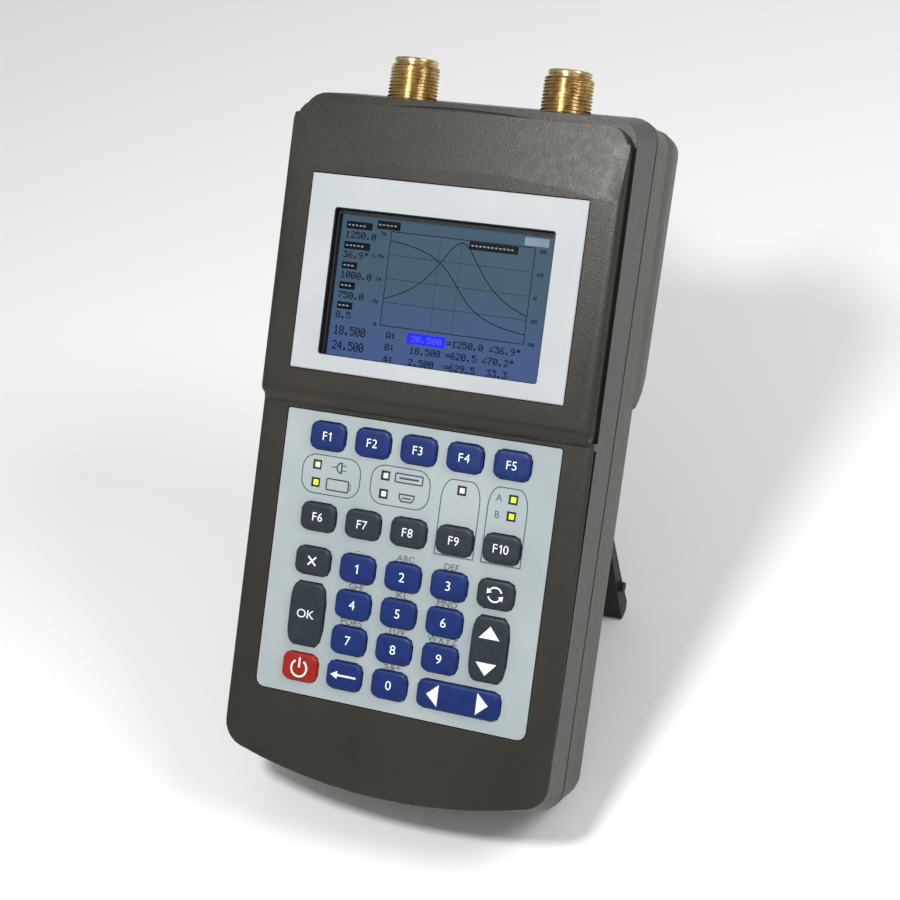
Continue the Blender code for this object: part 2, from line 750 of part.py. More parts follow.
def make_rear_shell():
    shell = rear_outer()
    combine(shell, rear_hump(), "UNION")
    combine(shell, rear_cavity(), "DIFFERENCE")
    combine(shell, hump_cavity(), "DIFFERENCE")
    combine(shell, rear_posts(), "UNION")
    combine(shell, rear_post_bores(), "DIFFERENCE")
    combine(shell, rear_head_bores(), "DIFFERENCE")
    combine(shell, cover_recess(), "DIFFERENCE")
    combine(shell, battery_opening(), "DIFFERENCE")
    combine(shell, hinge_lugs(), "UNION")
    pin_bore = rod(
        "pin_bore",
        (-STAND_HALF_WIDTH - 8 * MM, HINGE_Y, HINGE_Z),
        (STAND_HALF_WIDTH + 8 * MM, HINGE_Y, HINGE_Z),
        PIN_RADIUS + GAP,
        collection=cutters,
        steps=12,
    )
    combine(shell, pin_bore, "DIFFERENCE")
    combine(shell, port_cutter(), "DIFFERENCE")
    combine(shell, bpy.data.objects["connector_cutter"], "DIFFERENCE")
    shell.parent = case_frame
    return shell


# --- display ----------------------------------------------------------------


def make_display():
    outer = box_outline(BEZEL_HALF_WIDTH, BEZEL_LOW, BEZEL_HIGH)
    rounded = box_outline(BEZEL_HALF_WIDTH - 0.3 * MM, BEZEL_LOW + 0.3 * MM, BEZEL_HIGH - 0.3 * MM)
    front = PAD_Y - 0.35 * MM
    bezel = loft(
        "display_bezel",
        [ring(rounded, front), ring(outer, front + 0.3 * MM), ring(outer, PAD_Y + 0.55 * MM)],
        BEZEL_WHITE,
    )
    opening = box_outline(WINDOW_HALF_WIDTH, WINDOW_LOW, WINDOW_HIGH, 0.9 * MM)
    hole = loft(
        "bezel_opening", [ring(opening, -8 * MM), ring(opening, 0.0)], collection=cutters
    )
    combine(bezel, hole, "DIFFERENCE")
    over = LENS_OVERLAP
    lens = box(
        "display_window",
        (-WINDOW_HALF_WIDTH - over, PAD_Y + 0.9 * MM, WINDOW_LOW - over),
        (WINDOW_HALF_WIDTH + over, PAD_Y + 1.9 * MM, WINDOW_HIGH + over),
        LENS_CLEAR,
    )
    lcd = box(
        "lcd_module",
        (-LCD_HALF_WIDTH, LCD_Y, BEZEL_LOW + 1 * MM),
        (LCD_HALF_WIDTH, LCD_Y + LCD_DEPTH, BEZEL_HIGH - 4 * MM),
        LCD_BLUE,
    )
    for piece in (bezel, lens, lcd):
        piece.parent = case_frame


# --- keypad -----------------------------------------------------------------


def make_keypad():
    outline = box_outline(
        OVERLAY_HALF_WIDTH,
        OVERLAY_LOW,
        OVERLAY_HIGH,
        OVERLAY_RADIUS,
        top_radius=OVERLAY_TOP_RADIUS,
    )
    overlay = loft(
        "keypad_overlay",
        [ring(outline, OVERLAY_Y), ring(outline, OVERLAY_Y + OVERLAY_THICKNESS)],
        OVERLAY_GREY,
    )
    combine(overlay, bpy.data.objects["panel_holes"], "DIFFERENCE")
    overlay.parent = case_frame
    for entry in key_table():
        make_key(*entry)
    half = LAMP_SIDE / 2
    for name, (x, z, material) in LAMPS.items():
        lamp = box(
            name, (-half, 0.35 * MM, -half), (half, 4.6 * MM, half), material
        )
        lamp.location = (x, 0.0, z)
        lamp.parent = case_frame


# --- electronics ------------------------------------------------------------


def make_boards():
    keypad_board = box(
        "keypad_board",
        (-44.5 * MM, 5.0 * MM, 29 * MM),
        (44.5 * MM, 6.6 * MM, 115 * MM),
        BOARD_GREEN,
    )
    main_board = box(
        "main_board",
        (-41.0 * MM, 11.0 * MM, 22 * MM),
        (41.0 * MM, 12.6 * MM, 196 * MM),
        BOARD_GREEN,
    )
    for board in (keypad_board, main_board):
        board.parent = case_frame


CELL_RADIUS = 7.1 * MM
CELL_COUNT = 5
CELL_LENGTH = 50.5 * MM


def make_battery():
    """Five cells side by side in one wrap, and the cover that closes their compartment."""
    centre_z = (COVER_LOW + COVER_HIGH) / 2
    centre_y = HUMP_Y + HUMP_SLOPE * centre_z - COVER_THICKNESS - 2.2 * MM - CELL_RADIUS
    pitch = 2 * CELL_RADIUS - 0.4 * MM
    first = -(CELL_COUNT - 1) / 2 * pitch
    pack = None
    for index in range(CELL_COUNT):
        x = first + index * pitch
        ends = [(x, centre_y, centre_z + side * CELL_LENGTH / 2) for side in (-1, 1)]
        name = "battery_pack" if index == 0 else f"cell_{index}"
        where = parts if index == 0 else cutters
        cell = rod(name, ends[0], ends[1], CELL_RADIUS, CELL_WRAP, where, 16)
        if pack is None:
            pack = cell
        else:
            combine(pack, cell, "UNION")
    pack.parent = case_frame
    outline = box_outline(COVER_HALF_WIDTH, COVER_LOW, COVER_HIGH, 2.7 * MM)
    rings = [
        ring(outline, HUMP_Y - COVER_THICKNESS, HUMP_SLOPE),
        ring(outline, HUMP_Y, HUMP_SLOPE),
    ]
    cover = loft("battery_cover", rings, REAR_PLASTIC)
    cover.parent = case_frame


def make_ports():
    """The three sockets in the left wall, each with its own open mouth."""
    outside = -CASE_HALF_WIDTH + 0.9 * MM
    jack = turned(
        "power_jack",
        [
            (JACK_RADIUS, 0.0),
            (JACK_RADIUS, -PORT_DEPTH),
            (0.0, -PORT_DEPTH),
            (0.0, -1.5 * MM),
            (0.9 * MM, -2.0 * MM),
            (0.9 * MM, -PORT_DEPTH + 1 * MM),
            (3.1 * MM, -PORT_DEPTH + 1 * MM),
            (3.1 * MM, 0.0),
        ],
        RUBBER,
        True,
        20,
    )
    jack.location = (outside, JACK_Y, JACK_Z)
    jack.rotation_euler = (0.0, -math.pi / 2, 0.0)
    jack.parent = case_frame
    sockets = (
        ("usb_port", USB_Y, USB_Z, USB_HALF, 0.8 * MM),
        ("card_slot", CARD_Y, CARD_Z, CARD_HALF, 1.0 * MM),
    )
    for name, y, z, half, wall in sockets:
        socket = box(
            name,
            (outside, y - half[0], z - half[1]),
            (outside + PORT_DEPTH, y + half[0], z + half[1]),
            STEEL,
        )
        mouth = box(
            name + "_mouth",
            (outside - 1 * MM, y - half[0] + wall, z - half[1] + wall),
            (outside + PORT_DEPTH - 1 * MM, y + half[0] - wall, z + half[1] - wall),
            collection=cutters,
        )
        combine(socket, mouth, "DIFFERENCE")
        socket.parent = case_frame


# --- connectors -------------------------------------------------------------


def make_connector(letter, x):
    """A threaded coaxial jack: gold body, white insulator and slotted centre contact."""
    top = CONNECTOR_TOP - CASE_TOP
    thread_top = top - 2.0 * MM
    inside = -WALL - 0.5 * MM
    body = turned(
        f"connector_body_{letter}",
        [
            (LIP_RADIUS - 0.2 * MM, top),
            (LIP_RADIUS, top - 0.2 * MM),
            (LIP_RADIUS, thread_top),
            (THREAD_RADIUS - 0.6 * MM, thread_top),
            (THREAD_RADIUS, thread_top - 0.6 * MM),
            (THREAD_RADIUS, GAP),
            (NECK_RADIUS, GAP),
            (NECK_RADIUS, inside),
            (9.0 * MM, inside),
            (9.0 * MM, inside - 2.5 * MM),
            (NECK_RADIUS, inside - 2.5 * MM),
            (NECK_RADIUS, inside - 8 * MM),
            (BORE_RADIUS, inside - 8 * MM),
            (BORE_RADIUS, top),
        ],
        GOLD,
        True,
        28,
    )
    insulator = turned(
        f"connector_insulator_{letter}",
        [
            (BORE_RADIUS - GAP, 1.0 * MM),
            (BORE_RADIUS - GAP, inside - 8 * MM),
            (1.8 * MM, inside - 8 * MM),
            (1.8 * MM, 1.0 * MM),
        ],
        INSULATOR_WHITE,
        True,
        16,
    )
    contact = turned(
        f"connector_contact_{letter}",
        [
            (1.5 * MM, top - 5.5 * MM),
            (1.5 * MM, inside - 11 * MM),
            (0.8 * MM, inside - 11 * MM),
            (0.8 * MM, top - 5.5 * MM),
        ],
        GOLD,
        True,
        12,
    )
    for piece in (body, insulator, contact):
        piece.location = (x, CONNECTOR_Y, CASE_TOP)
        piece.parent = case_frame


# --- screws -----------------------------------------------------------------


def make_screws():
    for name, x, z in screw_places():
        screw = turned(
            name,
            [
                (0.0, 2.0 * MM),
                (2.7 * MM, 2.0 * MM),
                (2.7 * MM, 0.0),
                (1.3 * MM, 0.0),
                (1.3 * MM, -9.0 * MM),
                (0.0, -9.6 * MM),
            ],
            STEEL,
            False,
            12,
        )
        screw.location = (x, parting_at(z) + 3.5 * MM, z)
        screw.rotation_euler = (-math.pi / 2, 0.0, 0.0)
        screw.parent = case_frame


# --- kickstand --------------------------------------------------------------


def make_kickstand():
    """A wide leg, hollowed from behind, on a steel pin; its empty sits on the pin's axis."""
    hinge = bpy.data.objects.new("stand_hinge", None)
    parts.objects.link(hinge)
    hinge.location = (0.0, HINGE_Y, HINGE_Z)
    hinge.rotation_euler = (STAND_OPEN, 0.0, 0.0)
    hinge.parent = case_frame

    foot = -STAND_LENGTH
    outer = [
        (-STAND_EYE, STAND_HEEL),
        (-STAND_EYE, -4.0 * MM),
        (-STAND_FRONT, -9.0 * MM),
        (-STAND_FRONT, -50.0 * MM),
        (-3.7 * MM, foot + 0.8 * MM),
        (-2.9 * MM, foot),
        (1.4 * MM, foot),
        (3.1 * MM, foot + 2.2 * MM),
        (STAND_REAR + 0.2 * MM, -62.0 * MM),
        (STAND_REAR, -9.0 * MM),
        (STAND_EYE, -4.0 * MM),
        (STAND_EYE, STAND_HEEL),
    ]
    sides = (-STAND_HALF_WIDTH, STAND_HALF_WIDTH)
    leg = loft("kickstand", [[(x, y, z) for y, z in outer] for x in sides], CASE_PLASTIC)
    pocket = box(
        "stand_pocket",
        (-STAND_HALF_WIDTH + 2.6 * MM, -STAND_FRONT + STAND_WEB, -60 * MM),
        (STAND_HALF_WIDTH - 2.6 * MM, 6 * MM, -10 * MM),
        collection=cutters,
    )
    combine(leg, pocket, "DIFFERENCE")
    bores = bmesh.new()
    reach = STAND_HALF_WIDTH + 5 * MM
    add_rod(bores, (-reach, 0, 0), (reach, 0, 0), PIN_RADIUS + GAP, 12)
    bumper_at = (BUMPER_Y, BUMPER_Z)
    add_rod(bores, (-reach, *bumper_at), (reach, *bumper_at), BUMPER_RADIUS + GAP, 12)
    combine(leg, finish(bores, "stand_bores", None, cutters), "DIFFERENCE")

    reach = STAND_HALF_WIDTH + 1.7 * MM
    bumper = rod(
        "stand_bumper_rod", (-reach, *bumper_at), (reach, *bumper_at), BUMPER_RADIUS, RUBBER
    )
    for piece in (leg, bumper):
        piece.parent = hinge
    for tool in cutters.objects:
        if tool.name in ("stand_pocket", "stand_bores"):
            tool.parent = hinge

    reach = STAND_HALF_WIDTH + 4.4 * MM
    pin = rod(
        "kickstand_pin", (-reach, HINGE_Y, HINGE_Z), (reach, HINGE_Y, HINGE_Z), PIN_RADIUS, STEEL,
        steps=12,
    )
    pin.parent = case_frame


# --- assembly ---------------------------------------------------------------


def stand_on_floor():
    """Moves the frame so that the lowest point is at Z = 0 and the box is centred over the origin."""
    bpy.context.view_layer.update()
    graph = bpy.context.evaluated_depsgraph_get()
    low = Vector((math.inf, math.inf, math.inf))
    high = -low
    for obj in parts.objects:
        if obj.type != "MESH":
            continue
        evaluated = obj.evaluated_get(graph)
        for corner in evaluated.to_mesh().vertices:
            point = evaluated.matrix_world @ corner.co
            low = Vector(map(min, low, point))
            high = Vector(map(max, high, point))
        evaluated.to_mesh_clear()
    middle = (low + high) / 2
    case_frame.location -= Vector((middle.x, middle.y, low.z))


panel_holes()
connector_cutter()
make_front_shell()
make_rear_shell()
make_display()
make_keypad()
make_boards()
make_battery()
make_ports()
make_connector("a", -CONNECTOR_X)
make_connector("b", CONNECTOR_X)
make_screws()
make_kickstand()
for tool in cutters.objects:
    if tool.parent is None:
        tool.parent = case_frame
stand_on_floor()
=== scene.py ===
"""Looks of the handheld network analyzer: finishes, key caps, prints, the display's picture and threads."""

import json
import math

import bmesh
import bpy
import numpy as np
from mathutils import Matrix, Vector


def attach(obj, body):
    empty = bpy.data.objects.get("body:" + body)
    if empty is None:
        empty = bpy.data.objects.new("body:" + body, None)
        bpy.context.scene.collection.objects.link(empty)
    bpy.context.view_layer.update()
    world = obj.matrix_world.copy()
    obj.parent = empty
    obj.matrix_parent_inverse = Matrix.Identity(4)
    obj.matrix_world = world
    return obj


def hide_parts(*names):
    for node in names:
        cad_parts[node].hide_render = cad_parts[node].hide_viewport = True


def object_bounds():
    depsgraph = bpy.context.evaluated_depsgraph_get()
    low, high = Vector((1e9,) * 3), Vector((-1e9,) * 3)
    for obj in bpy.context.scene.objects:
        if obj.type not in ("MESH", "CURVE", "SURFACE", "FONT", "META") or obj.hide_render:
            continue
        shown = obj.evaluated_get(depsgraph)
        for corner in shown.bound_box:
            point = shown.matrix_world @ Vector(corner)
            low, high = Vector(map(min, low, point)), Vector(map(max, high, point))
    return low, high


MM = 0.001

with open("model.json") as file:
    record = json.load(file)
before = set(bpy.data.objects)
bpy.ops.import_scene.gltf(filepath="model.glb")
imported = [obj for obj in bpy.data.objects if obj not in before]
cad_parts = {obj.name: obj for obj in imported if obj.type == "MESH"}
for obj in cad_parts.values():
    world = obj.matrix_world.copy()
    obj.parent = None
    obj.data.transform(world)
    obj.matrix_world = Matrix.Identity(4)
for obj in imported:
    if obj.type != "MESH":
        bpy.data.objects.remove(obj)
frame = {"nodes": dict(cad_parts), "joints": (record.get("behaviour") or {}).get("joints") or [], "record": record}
cad_low, cad_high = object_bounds()
nodes = frame["nodes"]
joints = {joint["name"]: joint for joint in frame["joints"]}

# Case coordinates, as the CAD uses them: X right, Y into the case from the keypad face, Z up the case.
# The keys' travel gives the lean, and the stand's hinge gives the place.
HINGE_IN_CASE = Vector((0.0, 44.2, 113.3)) * MM
press = Vector(joints["key_digit_5_press"]["axis"])
lean = Matrix.Rotation(-math.atan2(-press.z, press.y), 4, "X")
hinge = Vector(joints["stand_fold"]["pos_m"])
CASE = Matrix.Translation(hinge - lean @ HINGE_IN_CASE) @ lean
TO_CASE = CASE.inverted()


def case_box(node):
    """Lowest and highest corner of a CAD node in case coordinates."""
    points = [TO_CASE @ vertex.co for vertex in nodes[node].data.vertices]
    low = Vector([min(point[i] for point in points) for i in range(3)])
    high = Vector([max(point[i] for point in points) for i in range(3)])
    return low, high


# --- materials --------------------------------------------------------------


def colour(code):
    """Linear colour of an sRGB hex code."""
    channels = [int(code[i : i + 2], 16) / 255 for i in (0, 2, 4)]
    linear = [c / 12.92 if c <= 0.04045 else ((c + 0.055) / 1.055) ** 2.4 for c in channels]
    return (*linear, 1.0)


class Finish:
    """A procedural material: a Principled shader with noise in its colour, roughness and bump."""

    def __init__(self, name, base, roughness=0.5, metallic=0.0):
        self.material = bpy.data.materials.new(name)
        self.material.use_nodes = True
        self.tree = self.material.node_tree
        self.shader = self.tree.nodes["Principled BSDF"]
        self.shader.inputs["Base Color"].default_value = base
        self.shader.inputs["Roughness"].default_value = roughness
        self.shader.inputs["Metallic"].default_value = metallic
        self.place = self.add("ShaderNodeTexCoord").outputs["Object"]
        self.normal = None

    def add(self, kind, **settings):
        node = self.tree.nodes.new(kind)
        for key, value in settings.items():
            setattr(node, key, value)
        return node

    def link(self, output, target):
        self.tree.links.new(output, target)

    def noise(self, size, detail=2.0, stretch=None):
        """Noise whose features are about size metres across, longer along the stretched axis."""
        node = self.add("ShaderNodeTexNoise")
        node.inputs["Scale"].default_value = 1.0 / size
        node.inputs["Detail"].default_value = detail
        source = self.place
        if stretch:
            mapping = self.add("ShaderNodeMapping")
            mapping.inputs["Scale"].default_value = stretch
            self.link(source, mapping.inputs["Vector"])
            source = mapping.outputs["Vector"]
        self.link(source, node.inputs["Vector"])
        return node.outputs["Fac"]

    def ramp(self, factor, low, high, start=0.3, end=0.7):
        node = self.add("ShaderNodeValToRGB")
        node.color_ramp.elements[0].position = start
        node.color_ramp.elements[1].position = end
        node.color_ramp.elements[0].color = low
        node.color_ramp.elements[1].color = high
        self.link(factor, node.inputs["Fac"])
        return node.outputs["Color"]

    def vary_colour(self, size, low, high, detail=3.0, stretch=None):
        noise = self.noise(size, detail, stretch)
        self.link(self.ramp(noise, low, high), self.shader.inputs["Base Color"])
        return self

    def vary_roughness(self, size, low, high, detail=3.0, stretch=None):
        node = self.add("ShaderNodeMapRange")
        node.inputs["From Min"].default_value = 0.3
        node.inputs["From Max"].default_value = 0.7
        node.inputs["To Min"].default_value = low
        node.inputs["To Max"].default_value = high
        self.link(self.noise(size, detail, stretch), node.inputs["Value"])
        self.link(node.outputs["Result"], self.shader.inputs["Roughness"])
        return self

    def grain(self, size, height, detail=2.0, stretch=None):
        """A bump of that height in metres, on top of any before it."""
        node = self.add("ShaderNodeBump")
        node.inputs["Distance"].default_value = height
        self.link(self.noise(size, detail, stretch), node.inputs["Height"])
        if self.normal:
            self.link(self.normal, node.inputs["Normal"])
        self.normal = node.outputs["Normal"]
        self.link(self.normal, self.shader.inputs["Normal"])
        return self

    def paint_shade_in_hollows(self, distance, darkest):
        """Paints shade into grooves and seams: darkens the base colour where ambient occlusion finds a hollow."""
        socket = self.shader.inputs["Base Color"]
        source = socket.links[0].from_socket
        hollow = self.add("ShaderNodeAmbientOcclusion", samples=6)
        hollow.inputs["Distance"].default_value = distance
        shade = self.ramp(hollow.outputs["AO"], darkest, (1.0, 1.0, 1.0, 1.0), 0.35, 0.8)
        mix = self.add("ShaderNodeMix", data_type="RGBA", blend_type="MULTIPLY")
        mix.inputs["Factor"].default_value = 1.0
        self.link(source, mix.inputs["A"])
        self.link(shade, mix.inputs["B"])
        self.link(mix.outputs["Result"], socket)
        return self

    def round_edges(self, radius):
        """Shades hard edges as if they had that radius."""
        node = self.add("ShaderNodeBevel", samples=4)
        node.inputs["Radius"].default_value = radius
        self.normal = node.outputs["Normal"]
        self.link(self.normal, self.shader.inputs["Normal"])
        return self

    def glow(self, light, strength):
        self.shader.inputs["Emission Color"].default_value = light
        self.shader.inputs["Emission Strength"].default_value = strength
        return self

    def set(self, **inputs):
        for key, value in inputs.items():
            self.shader.inputs[key.replace("_", " ").title()].default_value = value
        return self


def grained_plastic(name, low, high, roughness, edge=0.25 * MM):
    """Moulded plastic with a fine spark-eroded grain, a slow drift in tone and gloss, and painted shade in its
    grooves and seams.
    """
    finish = Finish(name, high).round_edges(edge)
    finish.vary_colour(28 * MM, low, high, 4.0)
    # Painted shade: the colour darkens in grooves and seams.
    finish.paint_shade_in_hollows(1.6 * MM, (0.08, 0.08, 0.08, 1.0))
    finish.shader.inputs["Specular IOR Level"].default_value = 0.3
    finish.vary_roughness(2.5 * MM, roughness - 0.04, roughness + 0.04)
    finish.grain(0.55 * MM, 0.05 * MM, 3.0)
    finish.grain(0.2 * MM, 0.02 * MM)
    return finish.material


CASE_PLASTIC = grained_plastic("case_grained", colour("2a2821"), colour("322f28"), 0.36)
# The rear plastic is the case's plastic painted lighter: painted light for the lit side walls.
REAR_PLASTIC = grained_plastic("rear_grained_painted_light", colour("3a3830"), colour("424036"), 0.42)
STAND_PLASTIC = grained_plastic("stand_grained", colour("16150f"), colour("1e1c15"), 0.5)

BEZEL = Finish("bezel_satin", colour("b2b6b7")).round_edges(0.15 * MM)
BEZEL.vary_colour(35 * MM, colour("adb3b6"), colour("b9bdbe"))
BEZEL.vary_roughness(5 * MM, 0.42, 0.55).grain(0.6 * MM, 0.008 * MM)
BEZEL.shader.inputs["Specular IOR Level"].default_value = 0.15

OVERLAY = Finish("overlay_film", colour("a0aaac")).round_edges(0.1 * MM)
OVERLAY.vary_colour(30 * MM, colour("9aa5a8"), colour("a7b0b1"))
OVERLAY.vary_roughness(4 * MM, 0.4, 0.52).grain(0.35 * MM, 0.01 * MM)
OVERLAY.shader.inputs["Specular IOR Level"].default_value = 0.25


def rubber_key(name, low, high, roughness=0.42):
    """A silicone key with a soft sheen, fine grain and faint handling marks."""
    finish = Finish(name, high).vary_colour(3.5 * MM, low, high, 4.0)
    finish.vary_roughness(1.6 * MM, roughness - 0.07, roughness + 0.1, 4.0)
    finish.grain(0.22 * MM, 0.012 * MM)
    finish.shader.inputs["Specular IOR Level"].default_value = 0.3
    return finish.material


KEY_FINISHES = {
    "key_blue": rubber_key("key_blue_rubber", colour("05205a"), colour("08286a")),
    "key_grey": rubber_key("key_grey_rubber", colour("1e272e"), colour("272f37")),
    "key_red": rubber_key("key_red_rubber", colour("8c1504"), colour("9c1d08")),
}

LEGEND = Finish("legend_white", colour("eef2f4"), 0.5)
LEGEND.vary_colour(0.8 * MM, colour("dfe5ea"), colour("f4f7f8"))
PRINT = Finish("print_grey", colour("444b4c"), 0.5)
PRINT.vary_colour(0.8 * MM, colour("3d4446"), colour("4e5557"))
PRINT_DARK = Finish("print_dark", colour("2a2f30"), 0.5)
PRINT_DARK.vary_colour(0.8 * MM, colour("242829"), colour("333939"))

LAMP_LIT = Finish("lamp_lit_lens", colour("a8d81c"), 0.3).glow(colour("b4e020"), 1.1)
LAMP_LIT.vary_colour(0.9 * MM, colour("8fc414"), colour("c6ee3c"))
# The unlit lamps glow faintly: painted light.
LAMP_OFF_GLOWING = Finish("lamp_off_lens_painted_glow", colour("e8e2d4"), 0.3).glow(colour("f2ead8"), 0.12)
LAMP_OFF_GLOWING.vary_colour(0.9 * MM, colour("cfc6b4"), colour("f6f0e4"))
BLACK = Finish("black_gasket", colour("0c0c0d"), 0.6)
BLACK.vary_roughness(1.5 * MM, 0.5, 0.7).grain(0.3 * MM, 0.01 * MM)

GOLD = Finish("gold_plate", colour("c4a468"), 0.28, 1.0)
GOLD.vary_colour(2.5 * MM, colour("b8975c"), colour("e0c896"), 3.0)
GOLD.vary_roughness(1.2 * MM, 0.18, 0.27).grain(0.25 * MM, 0.004 * MM)
WHITE_INSULATOR = Finish("insulator_resin", colour("e6e4dc"), 0.45)
WHITE_INSULATOR.vary_colour(1.5 * MM, colour("dcd9cf"), colour("efede6"))
STEEL = Finish("brushed_steel", colour("b9babc"), 0.3, 1.0)
STEEL.vary_roughness(0.8 * MM, 0.22, 0.4).grain(0.12 * MM, 0.004 * MM, 2.0, (1.0, 6.0, 6.0))
RUBBER = Finish("black_rubber", colour("1a1a1a"), 0.75)
RUBBER.vary_colour(4 * MM, colour("151515"), colour("202020")).grain(0.3 * MM, 0.02 * MM)
BOARD = Finish("circuit_board", colour("123f24"), 0.45)
BOARD.vary_colour(3 * MM, colour("0f3a20"), colour("184a2b")).grain(0.5 * MM, 0.01 * MM)
CELLS = Finish("cell_wrap_film", colour("1d4f86"), 0.35)
CELLS.vary_colour(9 * MM, colour("1a487b"), colour("22598f"))


def lens_finish():
    finish = Finish("display_lens", colour("05070a"), 0.06)
    finish.set(alpha=0.06)
    finish.shader.inputs["Specular IOR Level"].default_value = 0.3
    finish.vary_roughness(12 * MM, 0.04, 0.1)
    return finish.material


LENS = lens_finish()


def lcd_finish(low_z, high_z):
    """The display's ground: a backlit blue that deepens towards the bottom rows."""
    finish = Finish("lcd_ground", colour("5f7d96"), 0.35)
    split = finish.add("ShaderNodeSeparateXYZ")
    finish.link(finish.place, split.inputs["Vector"])
    span = finish.add("ShaderNodeMapRange")
    span.inputs["From Min"].default_value = low_z
    span.inputs["From Max"].default_value = high_z
    finish.link(split.outputs["Z"], span.inputs["Value"])
    blotch = finish.add("ShaderNodeMath", operation="MULTIPLY_ADD")
    finish.link(finish.noise(9 * MM, 3.0), blotch.inputs[0])
    blotch.inputs[1].default_value = 0.3
    finish.link(span.outputs["Result"], blotch.inputs[2])
    tone = finish.ramp(blotch.outputs["Value"], colour("6481c4"), colour("62829a"), 0.2, 0.75)
    dark = finish.add("ShaderNodeMix", data_type="RGBA", blend_type="MULTIPLY")
    dark.inputs["Factor"].default_value = 1.0
    finish.link(tone, dark.inputs["A"])
    dark.inputs["B"].default_value = (0.1, 0.1, 0.1, 1.0)
    finish.link(dark.outputs["Result"], finish.shader.inputs["Base Color"])
    finish.link(tone, finish.shader.inputs["Emission Color"])
    finish.shader.inputs["Emission Strength"].default_value = 0.42
    finish.shader.inputs["Specular IOR Level"].default_value = 0.1
    return finish.material


def lcd_ink(name, tone, strength):
    """Dark or bright liquid-crystal segments, lit a little from behind."""
    finish = Finish(name, tone, 0.4).glow(tone, strength)
    finish.shader.inputs["Specular IOR Level"].default_value = 0.1
    finish.vary_colour(1.2 * MM, tone, tuple(min(1.0, c * 1.15) for c in tone))
    return finish.material


LCD_INK = lcd_ink("lcd_ink", colour("0a1226"), 0.08)
LCD_LINE = lcd_ink("lcd_line", colour("172842"), 0.12)
LCD_BAR = lcd_ink("lcd_bar", colour("07080b"), 0.05)
LCD_PALE = lcd_ink("lcd_pale", colour("7f8ca0"), 0.22)
LCD_BLUE = lcd_ink("lcd_blue_bar", colour("1c1cd2"), 0.75)
LCD_FAINT = lcd_ink("lcd_faint", colour("3a46c8"), 0.75)


# --- smooth shading of the CAD nodes --------------------------------------------


def smooth_by_angle(angle):
    """A node group that merges a mesh's split vertices and shades all but its sharp edges smooth."""
    group = bpy.data.node_groups.new("smooth_by_angle", "GeometryNodeTree")
    for way in ("INPUT", "OUTPUT"):
        group.interface.new_socket(name="Geometry", in_out=way, socket_type="NodeSocketGeometry")
    start = group.nodes.new("NodeGroupInput")
    merge = group.nodes.new("GeometryNodeMergeByDistance")
    merge.inputs["Distance"].default_value = 0.001 * MM
    faces = group.nodes.new("GeometryNodeSetShadeSmooth")
    edges = group.nodes.new("GeometryNodeSetShadeSmooth")
    edges.domain = "EDGE"
    edges.inputs["Shade Smooth"].default_value = False
    turn = group.nodes.new("GeometryNodeInputMeshEdgeAngle")
    sharp = group.nodes.new("FunctionNodeCompare")
    sharp.inputs["B"].default_value = angle
    end = group.nodes.new("NodeGroupOutput")
    links = group.links
    links.new(start.outputs["Geometry"], merge.inputs["Geometry"])
    links.new(merge.outputs["Geometry"], faces.inputs["Geometry"])
    links.new(faces.outputs["Geometry"], edges.inputs["Geometry"])
    links.new(turn.outputs["Unsigned Angle"], sharp.inputs["A"])
    links.new(sharp.outputs["Result"], edges.inputs["Selection"])
    links.new(edges.outputs["Geometry"], end.inputs["Geometry"])
    return group


SMOOTH = smooth_by_angle(math.radians(32))


def finish_node(name, material):
    """Gives a CAD node its finish and smooth shading, without touching its mesh."""
    obj = nodes[name]
    for slot in obj.material_slots:
        slot.material = material
    if not obj.material_slots:
        obj.data.materials.append(material)
    shading = obj.modifiers.new("smooth_by_angle", "NODES")
    shading.node_group = SMOOTH
    flat = obj.modifiers.new("flat_faces", "WEIGHTED_NORMAL")
    flat.keep_sharp = True
    flat.weight = 90


# --- building pieces ----------------------------------------------------------


def arc(centre, radius, start, end, steps):
    """Points of an arc in XZ; the angles are degrees from +X."""
    points = []
    for step in range(steps + 1):
        angle = math.radians(start + (end - start) * step / steps)
        points.append((centre[0] + radius * math.cos(angle), centre[1] + radius * math.sin(angle)))
    return points


def corner_outline(half_x, half_z, radius_x, radius_z, steps=6, centre=(0.0, 0.0)):
    """A rectangle whose corners are quarter ellipses, anticlockwise seen from the front."""
    points = []
    for quarter, (side_x, side_z) in enumerate(((1, -1), (1, 1), (-1, 1), (-1, -1))):
        for step in range(steps + 1):
            angle = math.radians(-90 + 90 * (quarter + step / steps))
            x = side_x * (half_x - radius_x) + radius_x * math.cos(angle)
            z = side_z * (half_z - radius_z) + radius_z * math.sin(angle)
            points.append((centre[0] + x, centre[1] + z))
    return points


def add_loft(bm, rings):
    """Joins rings of equal length, and closes the first and the last."""
    loops = [[bm.verts.new(point) for point in points] for points in rings]
    count = len(loops[0])
    for near, far in zip(loops, loops[1:]):
        for i in range(count):
            j = (i + 1) % count
            bm.faces.new((near[i], near[j], far[j], far[i]))
    bm.faces.new(loops[0])
    bm.faces.new(list(reversed(loops[-1])))


def add_plate(bm, outline, top, base):
    """A flat plate with that outline in XZ, from the depth top back to the depth base."""
    add_loft(bm, [[(x, y, z) for x, z in outline] for y in (top, base)])


def add_bar(bm, x0, x1, z0, z1, top, base):
    add_plate(bm, [(x0, z0), (x1, z0), (x1, z1), (x0, z1)], top, base)


